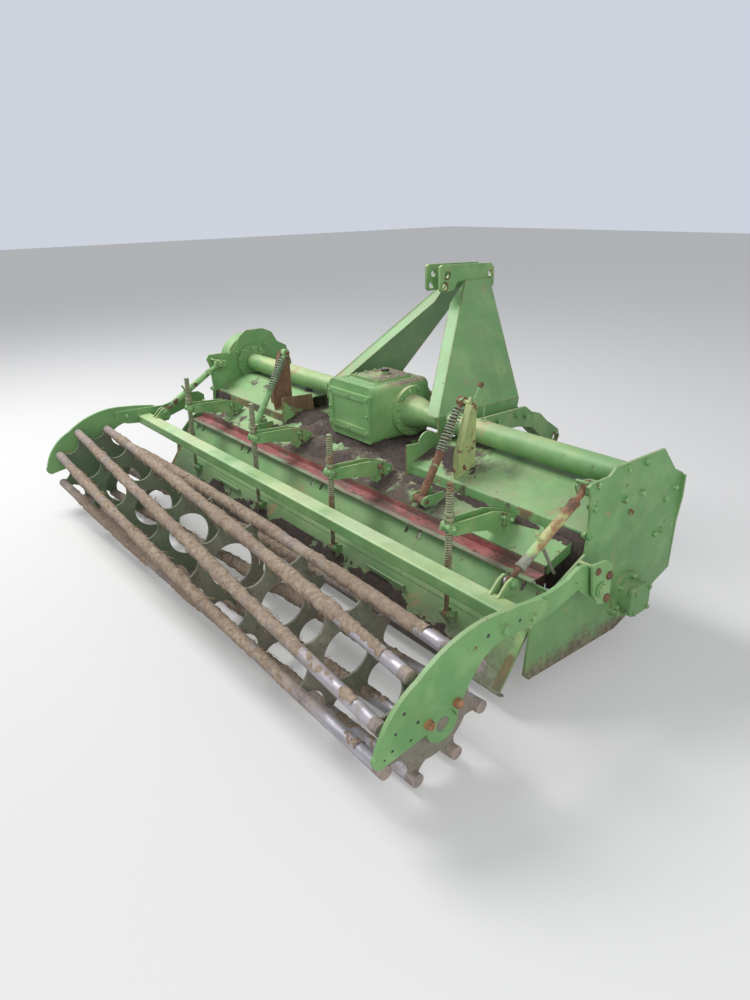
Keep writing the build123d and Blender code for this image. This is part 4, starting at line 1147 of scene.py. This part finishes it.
def bar_line(index, share):
    """Place of a roller bar's axis in millimetres, share 0 at its left end and 1 at its right one."""
    x = -BAR_REACH + 2 * BAR_REACH * share
    section = max(i for i in range(DISC_COUNT - 1) if BAR_SEATS[i] <= x + 1e-6)
    seats = BAR_SEATS[section:section + 2]
    ends = []
    for seat in seats:
        angle = radians(BAR_PHASE + BAR_TWIST * (seat + BAR_REACH) / (2 * BAR_REACH)) + tau * index / BAR_COUNT
        ends.append(Vector((seat, BAR_CIRCLE * cos(angle), ROLLER_Z + BAR_CIRCLE * sin(angle))))
    return ends[0].lerp(ends[1], (x - seats[0]) / (seats[1] - seats[0]))


def from_roller(centre):
    """Direction from the roller's axis to a place on a bar."""
    return Vector((0, centre.y, centre.z - ROLLER_Z)).normalized()


def crust_depth(place, out, away):
    """Depth in millimetres of the soil on a bar: more above, less on the roller's outer side."""
    spot = place / 1000
    cover = clamp((place.x + 1430) / 260) * clamp((1400 - place.x + 110 * out.z) / 420)
    patches = noise.noise(spot * 2.6 + Vector((5, 0, 0)))
    clumps = noise.fractal(spot * 15, 0.75, 2.1, 4)
    clods = 0.5 - noise.voronoi(spot * 30)[0][0]
    crumbs = noise.fractal(spot * 90, 0.6, 2.3, 3)
    above = 0.16 * out.z
    depth = 11 * (0.95 * patches + 0.55 * clumps + 0.45 * clods + 0.24 * crumbs + above + 0.7 * cover - 0.44)
    most = 13 - 7.5 * max(0, out.dot(away))
    return max(-1.5, min(most, depth))


def bar_soil():
    """Dry soil caked on the roller's bars, thin at their left ends and gone at their right ones."""
    bm = bmesh.new()
    steps, sides = 580, 20
    floor, bare = 0.0004, -0.2
    directions = [Vector((0, cos(a), sin(a))) for a in round_angles(sides)]
    for index in range(BAR_COUNT):
        rows = []
        for i in range(steps + 1):
            centre = bar_line(index, 0.004 + 0.955 * i / steps)
            away = from_roller(centre)
            row = []
            for out in directions:
                depth = crust_depth(centre + out * BAR_RADIUS, out, away)
                place = at(*(centre + out * (BAR_RADIUS + depth)))
                place.z = max(place.z, floor)
                row.append((bm.verts.new(place), depth))
            rows.append(row)
        for a, b in zip(rows, rows[1:]):
            for k in range(sides):
                n = (k + 1) % sides
                corners = (a[k], a[n], b[n], b[k])
                if max(depth for _, depth in corners) > bare:
                    bm.faces.new([vert for vert, _ in corners])
    drop_loose(bm)
    new_piece("bar_soil", bm, "soil", "roller")


def straw():
    """Bits of straw and roots caught in the soil on the bars."""
    bm = bmesh.new()
    bits = 900
    for _ in range(bits):
        centre = bar_line(dice.randrange(BAR_COUNT), dice.uniform(0.05, 0.86))
        angle = dice.uniform(0, tau)
        out = Vector((0, cos(angle), sin(angle)))
        round_bar = Vector((0, -out.z, out.y))
        length, lean, lift = dice.uniform(16, 70), dice.uniform(-1.2, 1.2), dice.uniform(4, 20)
        away = from_roller(centre)
        loose = 1 - clamp(out.dot(away) * 2)
        crust = max(0, crust_depth(centre + out * BAR_RADIUS, out, away))
        line = []
        for share in (k / 3 for k in range(4)):
            along = (share - 0.5) * length
            turned = along * sin(lean)
            sink = turned * turned / (2 * BAR_RADIUS)
            reach = BAR_RADIUS + crust + loose * lift * share ** 2 - sink + dice.uniform(-0.5, 1.5)
            line.append(at(*(centre + out * reach + round_bar * turned + Vector((along * cos(lean), 0, 0)))))
        if min(point.z for point in line) > 0.004:
            add_wire(bm, smooth_path(line, 3), dice.uniform(0.8, 1.5), 4)
    new_piece("straw", bm, "straw", "roller")


def drop_loose(bm):
    """Removes points that no face uses."""
    bmesh.ops.delete(bm, geom=[v for v in bm.verts if not v.link_faces], context="VERTS")


def surface_finder(names):
    """Function that gives the height of the named nodes' upper surface below a point."""
    trees = []
    for mesh in (nodes[name].data for name in names):
        points, faces = [v.co.copy() for v in mesh.vertices], [p.vertices[:] for p in mesh.polygons]
        trees.append(BVHTree.FromPolygons(points, faces))

    def height(x, y, top):
        hits = (tree.ray_cast(Vector((x, y, top)), -UP, 1) for tree in trees)
        heights = [place.z for place, normal, _, _ in hits if place is not None and normal.z > 0.3]
        return max(heights, default=None)
    return height


def soil_patch(bm, height, low, high, top, cover, thick, cell, seed, border):
    """Uneven layer of soil inside a rectangle of the scene, on what a ray from top finds; in metres."""
    columns, rows = int((high[0] - low[0]) / cell), int((high[1] - low[1]) / cell)
    grid = {}
    for i in range(columns + 1):
        for j in range(rows + 1):
            x, y = low[0] + cell * i, low[1] + cell * j
            z = height(x, y, top)
            if z is None:
                continue
            spot = Vector((x, y, seed))
            edge = min(i, columns - i, j, rows - j) * cell
            shape = noise.fractal(spot * 7, 0.75, 2.1, 5) + cover - max(0, border - edge) * 0.7 / border
            clods = 0.5 - noise.voronoi(spot * 26)[0][0]
            rough = 0.3 * noise.fractal(spot * 60, 0.6, 2.2, 3) + 0.45 * clods
            depth = min(1, shape * 1.6) * thick + rough * thick * clamp(shape * 3 + 0.2)
            if shape > -0.15:
                grid[i, j] = (bm.verts.new((x, y, z + max(-0.0015, depth))), z)
    add_grid(bm, grid, ((1, 0), (1, 1), (0, 1)), steepest=0.012)


DECK_SOIL = (  # left, right, rear and front of the machine; ray's top, cover, thickness, cell, seed, border
    (-0.588, 0.43, 0.79, 0.99, 0.66, 0.46, 0.017, 0.006, 1, 0.05),
    (-0.98, 0.52, 0.65, 0.785, 0.54, 0.1, 0.008, 0.006, 4, 0.05),
    (0.45, 0.84, 0.81, 1, 0.7, 0.05, 0.006, 0.006, 2, 0.05),
    (0.44, 1.375, 0.755, 0.803, 0.54, 0.5, 0.009, 0.005, 6, 0.018),
)


def deck_soil():
    """Soil on the hood round the gearbox and on the channels."""
    deck = surface_finder(["hood_right", "hood_left", "hood_middle"])
    bm = bmesh.new()
    for left, right, rear, front, *layer in DECK_SOIL:
        soil_patch(bm, deck, (left, rear - ORIGIN.y), (right, front - ORIGIN.y), *layer)
    drop_loose(bm)
    new_piece("deck_soil", bm, "soil_dark", "frame")


# Y and Z from the top down
WALL_LINE = ((790, 553), (783, 520), (779, 480), (776, 440), (775, 400), (775, 360), (777, 325), (782, 292))


def corner_walls_with_painted_shade():
    """Walls inside the hood's rear corners, seen between its rear panel and the side plates; their dark soil
    colour is partly real soil and partly painted shade in the gaps.
    """
    bm = bmesh.new()
    start, step, count, thick = 1242, 6.05, 27, 4
    front = [(y + thick, z) for y, z in reversed(WALL_LINE)]
    for side in OUT:
        rows = []
        for i in range(count):
            x = start + step * i
            rear = []
            for y, z in WALL_LINE:
                spot = Vector((x, y, z)) / 1000
                rear.append((y - 3 - 5 * noise.fractal(spot * 24, 0.7, 2.1, 4), z + 6 * noise.noise(spot * 30)))
            rows.append([at(side * x, y, z) for y, z in rear + front])
        rows = add_surface(bm, rows, closed=True)
        bm.faces.new(rows[0])
        bm.faces.new(rows[-1][::-1])
    # dark soil colour: partly real soil, partly painted shade
    new_piece("corner_walls_with_painted_shade", bm, "soil_dark", "frame")


def flap_place(x, along, out):
    """Point on the flap, by the distance down from its hinge and out to the rear."""
    down = yz_axis(HINGE, FLAP_BOTTOM)[0]
    rear = Vector((0, down.z, -down.y))
    return at(x, *HINGE) + (down * along + rear * out) / 1000


def flap_soil():
    """Dark soil stuck to the lower part of the flap's rear face."""
    bm = bmesh.new()
    cell, skin = 6, 3
    left, right, top, foot, lip = -1330, 1170, 252, 398, 340
    columns, rows = int((right - left) / cell), int((foot - top) / cell)
    grid = {}
    for i in range(columns + 1):
        for j in range(rows + 1):
            x, along = left + cell * i, top + cell * j
            spot = Vector((x, along, 40)) / 1000
            ends = min(1, (x - left) / 500, (right - x) / 260)
            shape = noise.fractal(spot * 6, 0.8, 2.1, 5) * 0.8 + 1.15 * (along - 262) / 140 + 0.55 * ends - 0.5
            if shape > -0.15:
                depth = shape * 15 + noise.fractal(spot * 70, 0.6, 2.2, 3) * 2
                limit = 7 if along < lip else 4
                grid[i, j] = (bm.verts.new(flap_place(x, along, skin + max(-1.5, min(limit, depth)))), 0)
    add_grid(bm, grid, ((0, 1), (1, 1), (1, 0)))
    drop_loose(bm)
    new_piece("flap_soil", bm, "soil_dark", "flap")


# The flap's seams; profiles are distances down from the hinge, or in from the end, and out to the rear
SEAM_PROFILES = (((186, 2.6), (187, 5.4), (203, 5.6), (204.5, 4.6), (205, 2.6)),
                 ((318, 2.6), (319, 4.6), (324, 4.6), (325, 2.6)))
LIP_PROFILE = ((0, 2), (0, 6.4), (20, 7), (34, 5.2), (36, 2.6))


def flap_seam():
    """Lapped seam below the crossbar, a thin one near the foot, and the rounded edge between the hinges."""
    bm = bmesh.new()
    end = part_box("rear_flap")[1][0] * 1000 - 1
    steps = 46
    for profile in SEAM_PROFILES:
        rows = []
        for x in (-end + 2 * end * i / steps for i in range(steps + 1)):
            wave = 0.5 * sin(x / 170)
            rows.append([flap_place(x, along + wave, out) for along, out in profile])
        add_surface(bm, rows)
    hinges = [share * HINGE_END_X for share in (-1, -0.56, 0, 0.56, 1)]
    gap, radius = 48, 11.5
    arc = [radians(t) for t in range(-40, 101, 14)]
    for start, stop in zip([-end - gap] + hinges, hinges + [end + gap]):
        add_surface(bm, [[flap_place(x, radius * cos(t), radius * sin(t)) for t in arc]
                         for x in (start + gap, stop - gap)])
    new_piece("flap_seam", bm, "paint_flap", "flap", smooth=False)


def flap_lips():
    """Lips along the flap's ends."""
    bm = bmesh.new()
    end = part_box("rear_flap")[1][0] * 1000 - 1
    for side in OUT:
        add_surface(bm, [[flap_place(side * (end - x), along, out) for x, out in LIP_PROFILE]
                         for along in range(16, 400, 12)])
    new_piece("flap_lips", bm, "paint_ends", "flap", smooth=False)


# Stage


def add_camera():
    """Camera of the photograph, solved from the machine's symmetric points."""
    azimuth, pitch, roll = radians(51.84), radians(22.92), radians(-1.11)
    view = Vector((-sin(azimuth) * cos(pitch), cos(azimuth) * cos(pitch), -sin(pitch)))
    right = Vector((cos(azimuth), sin(azimuth), 0))
    up = right.cross(view)
    right_rolled = right * cos(roll) + up * sin(roll)
    up_rolled = up * cos(roll) - right * sin(roll)
    data = bpy.data.cameras.new("camera")
    data.sensor_fit = "VERTICAL"
    data.sensor_height = 36
    data.lens = 25.758
    camera = new_object("camera", data)
    turn = Matrix((right_rolled, up_rolled, -view)).transposed().to_4x4()
    turn.translation = Vector((2.7008, -1.1796, 1.6591)) - ORIGIN
    camera.matrix_world = turn
    bpy.context.scene.camera = camera


def add_light(name, place, size, power):
    """Soft area light that points at the machine."""
    data = bpy.data.lights.new(name, "AREA")
    data.shape = "DISK"
    data.size = size
    data.energy = power
    lamp = new_object(name, data)
    lamp.location = place
    lamp.rotation_euler = (Vector((0, 0, 0.4)) - Vector(place)).to_track_quat("-Z", "Y").to_euler()


def seen_directly(g, strength):
    """Strength for rays from the camera or a reflection, and 0 for the light on the machine."""
    camera = g.field("ShaderNodeLightPath", output="Is Camera Ray")
    glossy = g.field("ShaderNodeLightPath", output="Is Glossy Ray")
    return g.most(camera, glossy) * strength


def add_floor():
    """Plain pale floor; the camera sees it a little lighter than it lights the machine."""
    mesh = bpy.data.meshes.new("floor")
    reach = 30
    corners = [(-reach, -reach, 0), (reach, -reach, 0), (reach, reach, 0), (-reach, reach, 0)]
    mesh.from_pydata(corners, [], [(0, 1, 2, 3)])
    g = new_material("floor")
    g.feed_node(SURFACE, {"Base Color": (0.46, 0.455, 0.445), "Roughness": 0.9,
                          "Emission Color": (1, 0.99, 0.97), "Emission Strength": seen_directly(g, 0.2)})
    mesh.materials.append(g.owner)
    new_object("floor", mesh)


def add_world():
    """Pale even sky; the camera and reflections see it lighter than it lights the machine."""
    g = Graph(bpy.data.worlds.new("world"))
    g.feed_node("Background", {"Color": (0.85, 0.9, 1), "Strength": seen_directly(g, 0.22) + 0.5})
    bpy.context.scene.world = g.owner


materials = all_materials()
dress_nodes()

for build in (
    stay_coils, stay_collars, threaded_rods, rod_pins, turnbuckle_trim,
    plate_bolts, bearing_bolts, bracket_bolts, gearbox_bolts, breather, arm_bolts, link_bolts, blade_bolts,
    frame_welds, arm_welds, pin_fittings, stay_knob, plate_rims, bearing_cover, gearbox_ribs,
    bar_soil, straw, deck_soil, corner_walls_with_painted_shade, flap_soil, flap_seam, flap_lips,
):
    build()

add_camera()
add_floor()
add_world()
add_light("key", (-3.5, -1.5, 5.5), 3.5, 440)
add_light("fill", (5.5, -3, 2.6), 5, 230)
bpy.context.scene.view_settings.view_transform = "Standard"
